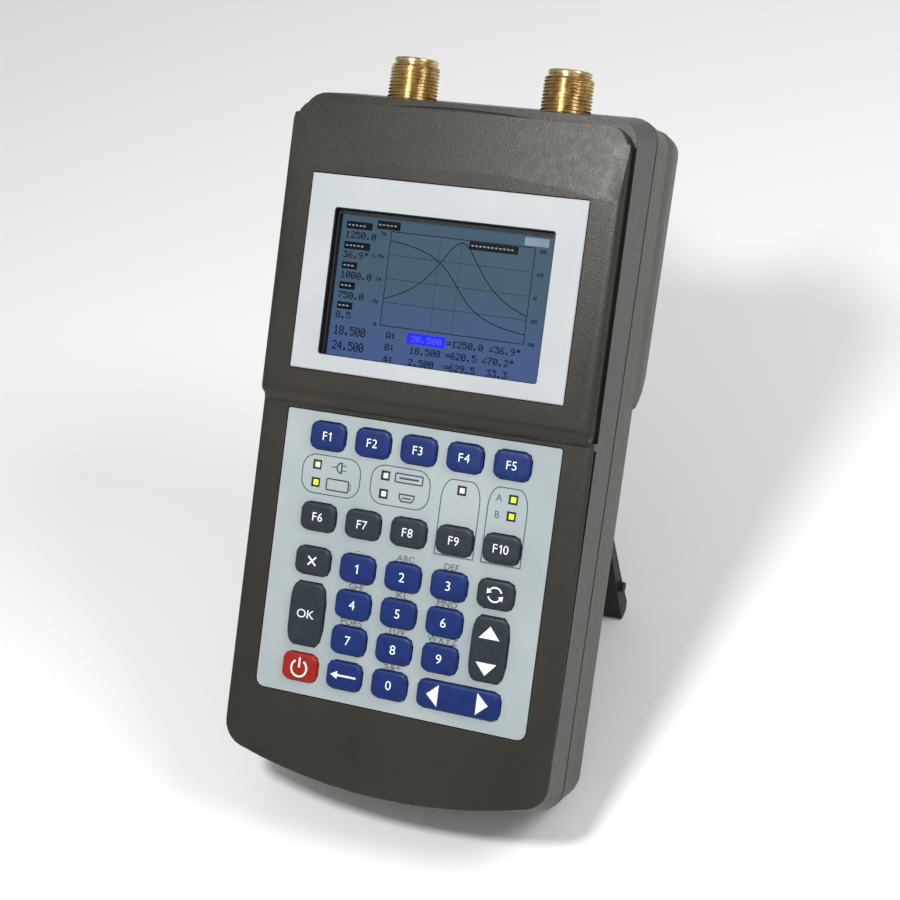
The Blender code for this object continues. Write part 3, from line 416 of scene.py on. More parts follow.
def add_line(bm, points, width, top, base, closed=False):
    """A printed line of that width along points in XZ, mitred at its corners."""
    path = [Vector(point) for point in points]
    count = len(path)
    left = []
    right = []
    for i, point in enumerate(path):
        before = path[i - 1] if i or closed else None
        after = path[(i + 1) % count] if i < count - 1 or closed else None
        ways = []
        if before is not None:
            ways.append((point - before).normalized())
        if after is not None:
            ways.append((after - point).normalized())
        normals = [Vector((-way.y, way.x)) for way in ways]
        side = sum(normals, Vector((0.0, 0.0))).normalized()
        reach = width / 2 / max(side.dot(normals[0]), 0.35)
        left.append(point + side * reach)
        right.append(point - side * reach)
    rows = []
    for y in (top, base):
        rows.append([[bm.verts.new((p.x, y, p.y)) for p in line] for line in (left, right)])
    (top_left, top_right), (base_left, base_right) = rows
    last = count if closed else count - 1
    for i in range(last):
        j = (i + 1) % count
        bm.faces.new((top_left[i], top_right[i], top_right[j], top_left[j]))
        bm.faces.new((base_right[i], base_left[i], base_left[j], base_right[j]))
        bm.faces.new((top_right[i], base_right[i], base_right[j], top_right[j]))
        bm.faces.new((base_left[i], top_left[i], top_left[j], base_left[j]))
    if not closed:
        for i in (0, count - 1):
            bm.faces.new((top_left[i], base_left[i], base_right[i], top_right[i]))


def text_mesh(text):
    """A closed mesh of the text at size 1, standing in XZ, thin along Y."""
    curve = bpy.data.curves.new("lettering", "FONT")
    curve.body = text
    curve.resolution_u = 3
    curve.extrude = 0.5
    holder = bpy.data.objects.new("lettering", curve)
    bpy.context.scene.collection.objects.link(holder)
    bpy.context.view_layer.update()
    mesh = bpy.data.meshes.new_from_object(holder)
    bpy.data.objects.remove(holder)
    bpy.data.curves.remove(curve)
    mesh.transform(Matrix.Rotation(math.radians(90), 4, "X"))
    return mesh


def mesh_span(mesh):
    points = np.array([vertex.co for vertex in mesh.vertices])
    return points.min(0), points.max(0)


CAP_LOW, CAP_HIGH = mesh_span(text_mesh("8"))
CAP_HEIGHT = CAP_HIGH[2] - CAP_LOW[2]


# The built-in font's one is a bare stroke, so this one has a flag; x and z are shares of its height
ONE = ((0.24, 0.0), (0.38, 0.0), (0.38, 1.0), (0.27, 1.0), (0.03, 0.79), (0.1, 0.69), (0.24, 0.81))
ONE_WIDTH = 0.4
SPACE_WIDTH = 0.35
LETTER_SPACE = 0.16


def add_text(bm, text, centre, height, top, base, narrow=1.0):
    """Printed characters centred on a point in XZ, as tall as height."""
    scale = height / CAP_HEIGHT
    glyphs = []
    across = 0.0
    for character in text:
        if character == " ":
            across += SPACE_WIDTH * height
            continue
        if character == "1":
            glyphs.append((None, across))
            across += ONE_WIDTH * height * narrow + LETTER_SPACE * height
            continue
        mesh = text_mesh(character)
        low, high = mesh_span(mesh)
        glyphs.append((mesh, across - low[0] * scale * narrow))
        across += (high[0] - low[0]) * scale * narrow + LETTER_SPACE * height
    start = centre[0] - (across - LETTER_SPACE * height) / 2
    foot = centre[1] - height / 2
    for mesh, shift in glyphs:
        if mesh is None:
            shape = [(start + shift + x * height * narrow, foot + z * height) for x, z in ONE]
            add_plate(bm, shape, top, base)
            continue
        place = Matrix.Translation((start + shift, (top + base) / 2, foot))
        size = Matrix.Diagonal((scale * narrow, abs(base - top), scale, 1.0))
        mesh.transform(place @ size @ Matrix.Translation((0.0, 0.0, -CAP_LOW[2])))
        bm.from_mesh(mesh)
        bpy.data.meshes.remove(mesh)


def make_piece(bm, name, material, body="case", angle=30):
    """Turns a bmesh in case coordinates into a piece that rides on a body."""
    bmesh.ops.remove_doubles(bm, verts=bm.verts, dist=0.0005 * MM)
    bmesh.ops.recalc_face_normals(bm, faces=bm.faces)
    mesh = bpy.data.meshes.new(name)
    bm.to_mesh(mesh)
    bm.free()
    mesh.transform(CASE)
    mesh.materials.append(material)
    mesh.shade_smooth()
    mesh.set_sharp_from_angle(angle=math.radians(angle))
    piece = bpy.data.objects.new(name, mesh)
    bpy.context.scene.collection.objects.link(piece)
    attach(piece, body)
    return piece


# --- key caps and their legends -------------------------------------------------

KEY_FOOT = 0.65 * MM
KEY_RADIUS = 2.4 * MM
TALL_RADIUS = (2.35 * MM, 5.6 * MM)
LEGEND_TOP = 0.03 * MM
LEGEND_BASE = 0.05 * MM
DIGIT_HEIGHT = 2.9 * MM
LABEL_HEIGHT = 2.7 * MM
CAP_RINGS = (
    (-0.02, 2.2),
    (0.0, 1.0),
    (0.05, 0.55),
    (0.16, 0.26),
    (0.36, 0.07),
    (0.65, 0.0),
    (3.9, 0.0),
)


def slot_of(node):
    for entry in frame["record"]["subparts"]:
        if entry["node"] == node:
            return entry["material_slot"]
    return None


def make_cap(node):
    """A soft rubber cap with a slightly crowned top, in place of the plain CAD key."""
    low, high = case_box(node)
    centre = ((low.x + high.x) / 2, (low.z + high.z) / 2)
    half_x = (high.x - low.x) / 2 - KEY_FOOT
    half_z = (high.z - low.z) / 2 - KEY_FOOT
    tall = half_z > 1.4 * half_x
    radius_x, radius_z = TALL_RADIUS if tall else (KEY_RADIUS, KEY_RADIUS)
    rings = []
    for back, inset in CAP_RINGS:
        inset_m = min(inset * MM, 0.6 * min(half_x, half_z))
        outline = corner_outline(
            half_x - inset_m,
            half_z - inset_m,
            max(radius_x - inset_m * 0.6, 0.5 * MM),
            max(radius_z - inset_m * 0.6, 0.5 * MM),
            6,
            centre,
        )
        rings.append([(x, low.y + back * MM, z) for x, z in outline])
    bm = bmesh.new()
    add_loft(bm, rings)
    slot = slot_of(node)
    cap = make_piece(bm, node.replace("key_", "cap_"), KEY_FINISHES[slot], node, 50)
    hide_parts(node)
    return centre, low.y + CAP_RINGS[0][0] * MM


def triangle(centre, half_base, height, way):
    """A triangle that points left, right, up or down."""
    along = {"up": (0, 1), "down": (0, -1), "left": (-1, 0), "right": (1, 0)}[way]
    across = (-along[1], along[0])
    tip = (centre[0] + along[0] * height / 2, centre[1] + along[1] * height / 2)
    foot = (centre[0] - along[0] * height / 2, centre[1] - along[1] * height / 2)
    points = [tip]
    for side in (1, -1):
        points.append((foot[0] + side * across[0] * half_base, foot[1] + side * across[1] * half_base))
    return points


def draw_power(bm, centre, top, base):
    """A ring open at the top with a bar in the gap."""
    line = 0.62 * MM
    ring = arc((centre[0], centre[1] - 0.35 * MM), 2.65 * MM, 122, 418, 28)
    add_line(bm, ring, line, top, base)
    x, z = centre
    add_bar(bm, x - line / 2, x + line / 2, z - 0.1 * MM, z + 3.1 * MM, top, base)


def draw_arrow(bm, centre, top, base):
    """An arrow to the left."""
    x, z = centre
    add_bar(bm, x - 2.2 * MM, x + 4.3 * MM, z - 0.3 * MM, z + 0.3 * MM, top, base)
    add_plate(bm, triangle((x - 3.3 * MM, z), 1.25 * MM, 2.3 * MM, "left"), top, base)


def draw_cycle(bm, centre, top, base):
    """Two curved arrows chasing each other."""
    for start in (20, 200):
        sweep = arc(centre, 2.2 * MM, start, start + 125, 12)
        add_line(bm, sweep, 0.5 * MM, top, base)
        end = Vector(sweep[-1])
        way = (end - Vector(sweep[-2])).normalized()
        side = Vector((-way.y, way.x))
        head = [end + way * 1.5 * MM, end + side * 1.0 * MM, end - side * 1.0 * MM]
        add_plate(bm, [tuple(point) for point in head], top, base)


def draw_cross(bm, centre, top, base):
    half = 1.35 * MM
    x, z = centre
    for side in (1, -1):
        ends = [(x - half, z - side * half), (x + half, z + side * half)]
        add_line(bm, ends, 0.55 * MM, top + side * 0.003 * MM, base)


def draw_legend(bm, node, centre, top, base):
    """What is printed on each key: digits, generic codes or a symbol."""
    x, z = centre
    name = node.removeprefix("key_")
    if name.startswith("digit_"):
        add_text(bm, name[-1], centre, DIGIT_HEIGHT, top, base, 1.05)
    elif name.startswith("function_"):
        add_text(bm, "F" + name.removeprefix("function_"), centre, LABEL_HEIGHT, top, base)
    elif name == "enter":
        add_text(bm, "OK", centre, LABEL_HEIGHT, top, base, 1.1)
    elif name == "escape":
        draw_cross(bm, centre, top, base)
    elif name == "auto":
        draw_cycle(bm, centre, top, base)
    elif name == "power":
        draw_power(bm, centre, top, base)
    elif name == "backspace":
        draw_arrow(bm, centre, top, base)
    elif name == "up_down":
        for way, lift in (("up", 5.2 * MM), ("down", -6.1 * MM)):
            add_plate(bm, triangle((x, z + lift), 3.4 * MM, 3.9 * MM, way), top, base)
    elif name == "left_right":
        for way, shift in (("left", -8.4 * MM), ("right", 8.2 * MM)):
            add_plate(bm, triangle((x + shift, z), 3.4 * MM, 3.8 * MM, way), top, base)


keys = [name for name in nodes if name.startswith("key_")]
for key in keys:
    key_centre, crown = make_cap(key)
    legend = bmesh.new()
    draw_legend(legend, key, key_centre, crown - LEGEND_TOP, crown + LEGEND_BASE)
    make_piece(legend, key.replace("key_", "legend_"), LEGEND.material, key)


# --- prints on the keypad overlay ------------------------------------------------

overlay_low, _ = case_box("keypad_overlay")
PRINT_TOP = overlay_low.y - 0.03 * MM
PRINT_BASE = overlay_low.y + 0.03 * MM
LINE = 0.32 * MM
ICON_LINE = 0.42 * MM
PLUG = (-26.2 * MM, 100.5 * MM)
BATTERY = (-26.1 * MM, 94.9 * MM)
CARD = (-2.2 * MM, 100.5 * MM)
SOCKET = (-2.3 * MM, 94.5 * MM)
PANELS = (
    (-28.65 * MM, 97.6 * MM, 10.05 * MM, 6.1 * MM),
    (-4.9 * MM, 97.6 * MM, 10.0 * MM, 6.1 * MM),
)
ARCHES = (("key_function_9", 102.8 * MM), ("key_function_10", 102.8 * MM))
ARCH_MARGIN = 0.47 * MM
LETTER_GROUPS = {
    2: "ABC",
    3: "DEF",
    4: "GHI",
    5: "JKL",
    6: "MNO",
    7: "PQRS",
    8: "TUV",
    9: "WXYZ",
    1: "- .",
    0: "%&+",
}
LETTER_HEIGHT = 2.0 * MM


def print_line(bm, points, width=LINE, closed=False):
    add_line(bm, points, width, PRINT_TOP, PRINT_BASE, closed)


def print_bar(bm, x0, x1, z0, z1):
    add_bar(bm, x0, x1, z0, z1, PRINT_TOP, PRINT_BASE)


def draw_plug(bm):
    """A mains plug: lead, body and two prongs."""
    x, z = PLUG
    print_bar(bm, x - 2.6 * MM, x - 0.9 * MM, z - 0.12 * MM, z + 0.12 * MM)
    body = arc((x + 0.9 * MM, z), 1.6 * MM, 90, 270, 12)
    print_line(bm, body, ICON_LINE, True)
    for side in (-1, 1):
        prong = z + side * 0.8 * MM
        print_bar(bm, x + 1.0 * MM, x + 2.5 * MM, prong - 0.13 * MM, prong + 0.13 * MM)


def draw_battery(bm):
    x, z = BATTERY
    outline = corner_outline(3.8 * MM, 1.75 * MM, 0.4 * MM, 0.4 * MM, 3, (x, z))
    print_line(bm, outline, ICON_LINE, True)
    nub = corner_outline(0.35 * MM, 0.9 * MM, 0.2 * MM, 0.3 * MM, 2, (x + 4.25 * MM, z))
    print_line(bm, nub, 0.2 * MM, True)


def draw_card(bm):
    """A memory card in its slot."""
    x, z = CARD
    outline = corner_outline(4.6 * MM, 1.35 * MM, 0.3 * MM, 0.3 * MM, 2, (x, z))
    print_line(bm, outline, ICON_LINE, True)
    print_bar(bm, x - 3.3 * MM, x + 3.3 * MM, z - 0.28 * MM, z + 0.28 * MM)


def draw_socket(bm):
    """A small five-sided socket."""
    x, z = SOCKET
    shape = [(-2.5, 1.1), (-2.5, 0.1), (-1.7, -1.1), (1.7, -1.1), (2.5, 0.1), (2.5, 1.1)]
    outline = [(x + px * MM, z + pz * MM) for px, pz in shape]
    print_line(bm, outline, ICON_LINE, True)
    print_bar(bm, x - 1.5 * MM, x + 1.5 * MM, z - 0.25 * MM, z + 0.15 * MM)


def draw_arches(bm):
    """Outlines that tie two function keys to their lamps."""
    for node, top in ARCHES:
        low, high = case_box(node)
        middle = (low.x + high.x) / 2
        half = (high.x - low.x) / 2 - KEY_FOOT + ARCH_MARGIN
        bottom = low.z + KEY_FOOT - 0.6 * MM
        rise = 6.5 * MM
        right = []
        for step in range(9):
            angle = math.radians(90 * step / 8)
            across = middle + half - 3.4 * MM * (1 - math.cos(angle))
            right.append((across, top - rise + rise * math.sin(angle)))
        left = [(2 * middle - px, pz) for px, pz in reversed(right)]
        base_line = [(middle - half, bottom), (middle + half, bottom)]
        print_line(bm, base_line + right + left, LINE, True)


overlay_print = bmesh.new()
for centre_x, centre_z, panel_half_x, panel_half_z in PANELS:
    panel = corner_outline(
        panel_half_x, panel_half_z, 4.4 * MM, 4.6 * MM, 8, (centre_x, centre_z)
    )
    print_line(overlay_print, panel, LINE, True)
draw_arches(overlay_print)
make_piece(overlay_print, "overlay_outlines", PRINT.material)

icons = bmesh.new()
draw_plug(icons)
draw_battery(icons)
draw_card(icons)
draw_socket(icons)
make_piece(icons, "overlay_icons", PRINT_DARK.material)

letters = bmesh.new()
for digit, group in LETTER_GROUPS.items():
    key_low, key_high = case_box(f"key_digit_{digit}")
    spot = ((key_low.x + key_high.x) / 2, key_high.z - KEY_FOOT + 1.38 * MM)
    add_text(letters, group, spot, LETTER_HEIGHT, PRINT_TOP, PRINT_BASE, 1.05)
for mark, node in (("A", "led_cursor_a"), ("B", "led_cursor_b")):
    lamp_low, lamp_high = case_box(node)
    spot = (lamp_low.x - 3.4 * MM, (lamp_low.z + lamp_high.z) / 2)
    add_text(letters, mark, spot, 2.2 * MM, PRINT_TOP, PRINT_BASE)
make_piece(letters, "overlay_letters", PRINT.material)

# Black frames inside the lamp holes: painted shade of the holes' recesses
LAMP_FRAME_OUTER = 1.48 * MM
LAMP_FRAME_INNER = 0.85 * MM
lamps = [name for name in nodes if name.startswith("led_")]
hole_shade_rims = bmesh.new()
for name in lamps:
    lamp_low, lamp_high = case_box(name)
    x = (lamp_low.x + lamp_high.x) / 2
    z = (lamp_low.z + lamp_high.z) / 2
    middle = (LAMP_FRAME_OUTER + LAMP_FRAME_INNER) / 2
    square = [(x - middle, z - middle), (x + middle, z - middle)]
    square += [(x + middle, z + middle), (x - middle, z + middle)]
    depth = lamp_low.y
    add_line(hole_shade_rims, square, LAMP_FRAME_OUTER - LAMP_FRAME_INNER, depth - 0.12 * MM, depth, True)
make_piece(hole_shade_rims, "lamp_hole_painted_shade", BLACK.material)


# --- the display's picture ---------------------------------------------------------

lcd_low, _ = case_box("lcd_module")
window_low, window_high = case_box("display_window")
bezel_low, _ = case_box("display_bezel")
SCREEN_Y = lcd_low.y - 0.02 * MM
INK_Y = SCREEN_Y - 0.015 * MM
BAR_TEXT_Y = SCREEN_Y - 0.03 * MM
SCREEN_HALF = 35.6 * MM
SCREEN_LOW = 134.3 * MM
SCREEN_HIGH = 179.1 * MM
GRAPH_LEFT = -18.5 * MM
GRAPH_RIGHT = 29.1 * MM
GRAPH_LOW = 146.3 * MM
GRAPH_HIGH = 175.3 * MM
PEAK_X = 5.4 * MM
PEAK_WIDTH = 7.4 * MM
CURSORS = (-1.8 * MM, 5.4 * MM)
COLUMN_LEFT = -34.0 * MM

# A five by seven dot font, each row a five-bit number
DOTS = {
    "0": (14, 17, 19, 21, 25, 17, 14),
    "1": (4, 12, 4, 4, 4, 4, 14),
    "2": (14, 17, 1, 2, 4, 8, 31),
    "3": (31, 2, 4, 2, 1, 17, 14),
    "4": (2, 6, 10, 18, 31, 2, 2),
    "5": (31, 16, 30, 1, 1, 17, 14),
    "6": (6, 8, 16, 30, 17, 17, 14),
    "7": (31, 1, 2, 4, 8, 8, 8),
    "8": (14, 17, 17, 14, 17, 17, 14),
    "9": (14, 17, 17, 15, 1, 2, 12),
    ".": (0, 0, 0, 0, 0, 12, 12),
    ":": (0, 12, 12, 0, 12, 12, 0),
    "=": (0, 0, 31, 0, 31, 0, 0),
    "-": (0, 0, 0, 31, 0, 0, 0),
    "k": (16, 16, 18, 20, 24, 20, 18),
    "A": (14, 17, 17, 17, 31, 17, 17),
    "B": (30, 17, 17, 30, 17, 17, 30),
    "*": (14, 10, 14, 0, 0, 0, 0),
    "<": (1, 2, 4, 8, 16, 31, 0),
    "^": (4, 4, 10, 10, 17, 31, 0),
    " ": (0, 0, 0, 0, 0, 0, 0),
}


DOT_SPREAD = 0.05 * MM


def add_dots(bm, text, left, middle, height, width, top=INK_Y):
    """Dot-matrix characters; left and middle are case coordinates, width is a character's pitch."""
    dot_z = height / 7
    dot_x = width / 6
    for index, character in enumerate(text):
        for row, bits in enumerate(DOTS[character]):
            z = middle + height / 2 - (row + 1) * dot_z
            column = 0
            while column < 5:
                if not bits >> (4 - column) & 1:
                    column += 1
                    continue
                start = column
                while column < 5 and bits >> (4 - column) & 1:
                    column += 1
                x = left + index * width + start * dot_x
                length = (column - start) * dot_x
                left_edge = x - DOT_SPREAD
                right_edge = x + length + DOT_SPREAD
                add_bar(bm, left_edge, right_edge, z - DOT_SPREAD, z + dot_z, top, SCREEN_Y)


def screen_piece(bm, name, material):
    make_piece(bm, name, material, "case")


ground = bmesh.new()
add_bar(
    ground, -SCREEN_HALF, SCREEN_HALF, SCREEN_LOW, SCREEN_HIGH, SCREEN_Y, lcd_low.y + 0.02 * MM
)
world_z = [(CASE @ Vector((0.0, SCREEN_Y, z))).z for z in (SCREEN_LOW, SCREEN_HIGH)]
screen_piece(ground, "lcd_ground", lcd_finish(*world_z))

lines = bmesh.new()
for share in (0.25, 0.5, 0.75):
    z = GRAPH_LOW + share * (GRAPH_HIGH - GRAPH_LOW)
    add_bar(lines, GRAPH_LEFT, GRAPH_RIGHT, z - 0.09 * MM, z + 0.09 * MM, INK_Y, SCREEN_Y)
for x in CURSORS:
    dash = 0.55 * MM
    z = GRAPH_LOW
    while z < GRAPH_HIGH - dash:
        add_bar(lines, x - 0.08 * MM, x + 0.08 * MM, z, z + dash * 0.7, INK_Y - 0.002 * MM, SCREEN_Y)
        z += dash
screen_piece(lines, "lcd_grid", LCD_LINE)

traces = bmesh.new()
frame_line = [(GRAPH_LEFT, GRAPH_LOW), (GRAPH_RIGHT, GRAPH_LOW)]
frame_line += [(GRAPH_RIGHT, GRAPH_HIGH), (GRAPH_LEFT, GRAPH_HIGH)]
add_line(traces, frame_line, 0.26 * MM, INK_Y - 0.004 * MM, SCREEN_Y, True)
magnitude = []
phase = []
for step in range(97):
    x = GRAPH_LEFT + (GRAPH_RIGHT - GRAPH_LEFT) * step / 96
    offset = (x - PEAK_X) / PEAK_WIDTH
    height = (GRAPH_HIGH - GRAPH_LOW) * 0.965 / math.sqrt(1 + offset**2)
    magnitude.append((x, GRAPH_LOW + height))
    turn = math.atan(offset) / (math.pi / 2)
    phase.append((x, (GRAPH_LOW + GRAPH_HIGH) / 2 - turn * (GRAPH_HIGH - GRAPH_LOW) / 2))
add_line(traces, magnitude, 0.3 * MM, INK_Y - 0.006 * MM, SCREEN_Y)
add_line(traces, phase, 0.3 * MM, INK_Y - 0.008 * MM, SCREEN_Y)
screen_piece(traces, "lcd_traces", LCD_INK)

figures = bmesh.new()
# Figures and their heights up the case in millimetres
SIDE_VALUES = (("1250.0", 173.0), ("36.9*", 166.8), ("1000.0", 160.5), ("750.0", 154.2), ("8.5", 148.0))
SPAN_VALUES = (("18.500", 143.2), ("24.500", 138.5))
SIDE_HEIGHT = 2.1 * MM
SIDE_PITCH = 1.8 * MM
SPAN_HEIGHT = 2.8 * MM
SPAN_PITCH = 1.85 * MM
ROW_HEIGHT = 2.1 * MM
ROW_PITCH = 1.75 * MM
ROW_COLUMNS = (-16.0 * MM, -7.6 * MM, 4.4 * MM)
for value, z in SIDE_VALUES:
    add_dots(figures, value, COLUMN_LEFT, z * MM, SIDE_HEIGHT, SIDE_PITCH)
for value, z in SPAN_VALUES:
    add_dots(figures, value, COLUMN_LEFT, z * MM, SPAN_HEIGHT, SPAN_PITCH)
LEFT_SCALE = ("2k", "1.5k", "1k", ".5k", "0")
RIGHT_SCALE = ("90", "45", "0", "45", "90")
for index, (near, far) in enumerate(zip(LEFT_SCALE, RIGHT_SCALE)):
    z = GRAPH_HIGH - 0.9 * MM - index * (GRAPH_HIGH - GRAPH_LOW - 1.0 * MM) / 4
    pitch = 1.15 * MM
    add_dots(figures, near, GRAPH_LEFT - 1.2 * MM - len(near) * pitch, z, 1.15 * MM, pitch)
    add_dots(figures, far, GRAPH_RIGHT + 1.4 * MM, z, 1.15 * MM, pitch)
ROWS = (
    ("A:", "", "=1250.0 <36.9*", 143.5),
    ("B:", "18.500", "=620.5 <70.2*", 139.9),
    ("^:", "2.500", "=629.5  33.3", 136.3),
)
for *words, z in ROWS:
    for word, column in zip(words, ROW_COLUMNS):
        add_dots(figures, word, column, z * MM, ROW_HEIGHT, ROW_PITCH)
screen_piece(figures, "lcd_figures", LCD_INK)

bars = bmesh.new()
# Top, bottom and width of each tag in the left column, in millimetres
TAGS = (
    (177.1, 174.8, 8.9),
    (170.8, 168.5, 8.9),
    (164.5, 162.3, 5.3),
    (158.3, 156.0, 5.3),
    (152.0, 149.8, 5.3),
)
for high, low, width in TAGS:
    add_bar(bars, COLUMN_LEFT, COLUMN_LEFT + width * MM, low * MM, high * MM, INK_Y, SCREEN_Y)
add_bar(bars, -23.5 * MM, -15.7 * MM, 175.7 * MM, 178.3 * MM, INK_Y, SCREEN_Y)
add_bar(bars, 7.7 * MM, 23.7 * MM, 172.6 * MM, 175.1 * MM, INK_Y - 0.01 * MM, SCREEN_Y)
screen_piece(bars, "lcd_tags", LCD_BAR)

pale = bmesh.new()
add_bar(pale, 25.4 * MM, 33.2 * MM, 175.8 * MM, 178.3 * MM, INK_Y, SCREEN_Y)
DASH_ROWS = (
    (-23.0, 7.0, 177.0),
    (8.4, 14.6, 173.85),
    (-33.4, 7.6, 175.95),
    (-33.4, 7.6, 169.65),
    (-33.4, 4.0, 163.4),
    (-33.4, 4.0, 157.15),
    (-33.4, 4.0, 150.9),
)
for left, length, z in DASH_ROWS:
    count = int(length / 1.3)
    for index in range(count):
        x = (left + index * 1.3) * MM
        add_bar(pale, x, x + 0.75 * MM, (z - 0.22) * MM, (z + 0.22) * MM, BAR_TEXT_Y, SCREEN_Y)
screen_piece(pale, "lcd_pale_marks", LCD_PALE)
highlight = bmesh.new()
add_bar(highlight, -9.0 * MM, 3.8 * MM, 141.8 * MM, 145.2 * MM, INK_Y, SCREEN_Y)
screen_piece(highlight, "lcd_highlight", LCD_BLUE)
chosen = bmesh.new()
add_dots(chosen, "20.500", -7.6 * MM, 143.5 * MM, 1.85 * MM, 1.75 * MM, BAR_TEXT_Y)
screen_piece(chosen, "lcd_highlight_figures", LCD_FAINT)


def add_tube(bm, outer, inner, top, base):
    """A frame with straight walls between two outlines of equal length."""
    loops = []
    for outline, y in ((outer, top), (outer, base), (inner, base), (inner, top)):
        loops.append([bm.verts.new((x, y, z)) for x, z in outline])
    count = len(outer)
    for near, far in zip(loops, loops[1:] + loops[:1]):
        for i in range(count):
            j = (i + 1) % count
            bm.faces.new((near[i], near[j], far[j], far[i]))


def rectangle(low_x, high_x, low_z, high_z):
    return [(low_x, low_z), (high_x, low_z), (high_x, high_z), (low_x, high_z)]


# A black gasket from the lens back to the display, and a black lining in the bezel's opening
gasket = bmesh.new()
GASKET_INSET = 0.3 * MM
gasket_outer = rectangle(
    window_low.x + GASKET_INSET,
    window_high.x - GASKET_INSET,
    window_low.z + GASKET_INSET,
    window_high.z - GASKET_INSET,
)
gasket_inner = rectangle(-SCREEN_HALF, SCREEN_HALF, SCREEN_LOW, SCREEN_HIGH)
add_tube(gasket, gasket_outer, gasket_inner, window_high.y + 0.05 * MM, SCREEN_Y)
make_piece(gasket, "display_gasket", BLACK.material)

LENS_OVERLAP = 1.7 * MM
opening_half = window_high.x - LENS_OVERLAP
opening_mid = (window_low.z + window_high.z) / 2
opening_half_z = (window_high.z - window_low.z) / 2 - LENS_OVERLAP
lining = bmesh.new()
loops_at = (0.0, opening_mid)
lining_loops = []
for gap, radius in ((0.02 * MM, 0.9 * MM), (0.25 * MM, 0.8 * MM)):
    lining_loops.append(
        corner_outline(opening_half - gap, opening_half_z - gap, radius, radius, 4, loops_at)
    )
add_tube(lining, *lining_loops, bezel_low.y + 0.12 * MM, window_low.y - 0.02 * MM)
make_piece(lining, "bezel_lining", BLACK.material)


# --- test ports with their threads ---------------------------------------------------

PITCH = 25.4 / 24 * MM
THREAD_DEPTH = 0.5 * MM
PORT_STEPS = 48
ROWS_PER_PITCH = 8
THREAD_R = 7.94 * MM
LIP_R = 6.9 * MM
NECK_R = 6.0 * MM
BORE_R = 4.2 * MM
FLANGE_R = 9.0 * MM
CASE_TOP = 216.0 * MM


def port_rings(top):
    """Radius and height of each ring of a port's outside, from the tail up, and whether it is threaded."""
    inside = CASE_TOP - 2.9 * MM
    rings = [
        (NECK_R, inside - 8 * MM, False),
        (NECK_R, inside - 2.5 * MM, False),
        (FLANGE_R, inside - 2.5 * MM, False),
        (FLANGE_R, inside, False),
        (NECK_R, inside, False),
        (NECK_R, CASE_TOP + 0.3 * MM, False),
        (THREAD_R - 0.7 * MM, CASE_TOP + 0.3 * MM, False),
        (THREAD_R - 0.1 * MM, CASE_TOP + 0.9 * MM, False),
    ]
    low = CASE_TOP + 1.2 * MM
    high = top - 2.9 * MM
    count = int(round((high - low) / PITCH * ROWS_PER_PITCH))
    for step in range(count + 1):
        rings.append((THREAD_R, low + (high - low) * step / count, True))
    rings += [
        (THREAD_R - 0.15 * MM, top - 2.6 * MM, False),
        (THREAD_R - 0.75 * MM, top - 2.05 * MM, False),
        (LIP_R - 0.55 * MM, top - 2.0 * MM, False),
        (LIP_R - 0.55 * MM, top - 1.55 * MM, False),
        (LIP_R - 0.05 * MM, top - 1.35 * MM, False),
        (LIP_R, top - 0.45 * MM, False),
        (LIP_R - 0.12 * MM, top - 0.15 * MM, False),
        (LIP_R - 0.4 * MM, top, False),
        (BORE_R + 0.5 * MM, top, False),
        (BORE_R + 0.15 * MM, top - 0.3 * MM, False),
        (BORE_R, top - 0.8 * MM, False),
        (BORE_R, inside - 8 * MM, False),
    ]
    return rings


def make_port(letter):
    """A gold coaxial jack with a real helical thread, in place of the plain turned body."""
    node = f"connector_body_{letter}"
    low, high = case_box(node)
    x = (low.x + high.x) / 2
    y = (low.y + high.y) / 2
    bm = bmesh.new()
    loops = []
    for radius, z, threaded in port_rings(high.z):
        loop = []
        for step in range(PORT_STEPS):
            share = step / PORT_STEPS
            depth = 0.0
            if threaded:
                phase_now = ((z - low.z) / PITCH - share) % 1.0
                depth = THREAD_DEPTH * (0.5 - 0.5 * math.cos(2 * math.pi * phase_now))
            angle = 2 * math.pi * share
            reach = radius - depth
            loop.append(bm.verts.new((x + reach * math.cos(angle), y + reach * math.sin(angle), z)))
        loops.append(loop)
    for near, far in zip(loops, loops[1:] + loops[:1]):
        for i in range(PORT_STEPS):
            j = (i + 1) % PORT_STEPS
            bm.faces.new((near[i], near[j], far[j], far[i]))
    port = make_piece(bm, f"port_body_{letter}", GOLD.material, "case", 55)
    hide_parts(node)


make_port("a")
make_port("b")


# --- the battery cover's grip and arrow --------------------------------------------------

_, cover_high = case_box("battery_cover")
HUMP_SLOPE = 0.045
GRIP_RIDGES = 6
GRIP_DROP = 5.0 * MM
GRIP_PITCH = 1.6 * MM
GRIP_HALF_WIDTH = 11.0 * MM
RIDGE_HALF_HEIGHT = 0.5 * MM
# Depth of each ring of a ridge, and how much it is drawn in
RIDGE_RINGS = ((-0.1 * MM, 0.0), (0.0, 0.0), (0.35 * MM, 0.25 * MM))
ARROW_DROP = 18.0 * MM
cover_back = cover_high.y - HUMP_SLOPE * cover_high.z


def cover_y(z):
    """Depth of the battery cover's outer face at the height z."""
    return cover_back + HUMP_SLOPE * z


grip = bmesh.new()
for index in range(GRIP_RIDGES):
    z = cover_high.z - GRIP_DROP - index * GRIP_PITCH
    rings = []
    for depth, inset in RIDGE_RINGS:
        half_bar = RIDGE_HALF_HEIGHT - inset
        width = GRIP_HALF_WIDTH - inset
        y = cover_y(z) + depth
        rings.append([(x, y, pz) for x, pz in rectangle(-width, width, z - half_bar, z + half_bar)])
    add_loft(grip, rings)
arrow = triangle((0.0, cover_high.z - ARROW_DROP), 2.4 * MM, 3.0 * MM, "up")
arrow_y = cover_y(cover_high.z - ARROW_DROP)
add_plate(grip, arrow, arrow_y - 0.12 * MM, arrow_y + 0.25 * MM)
make_piece(grip, "battery_cover_grip", REAR_PLASTIC)


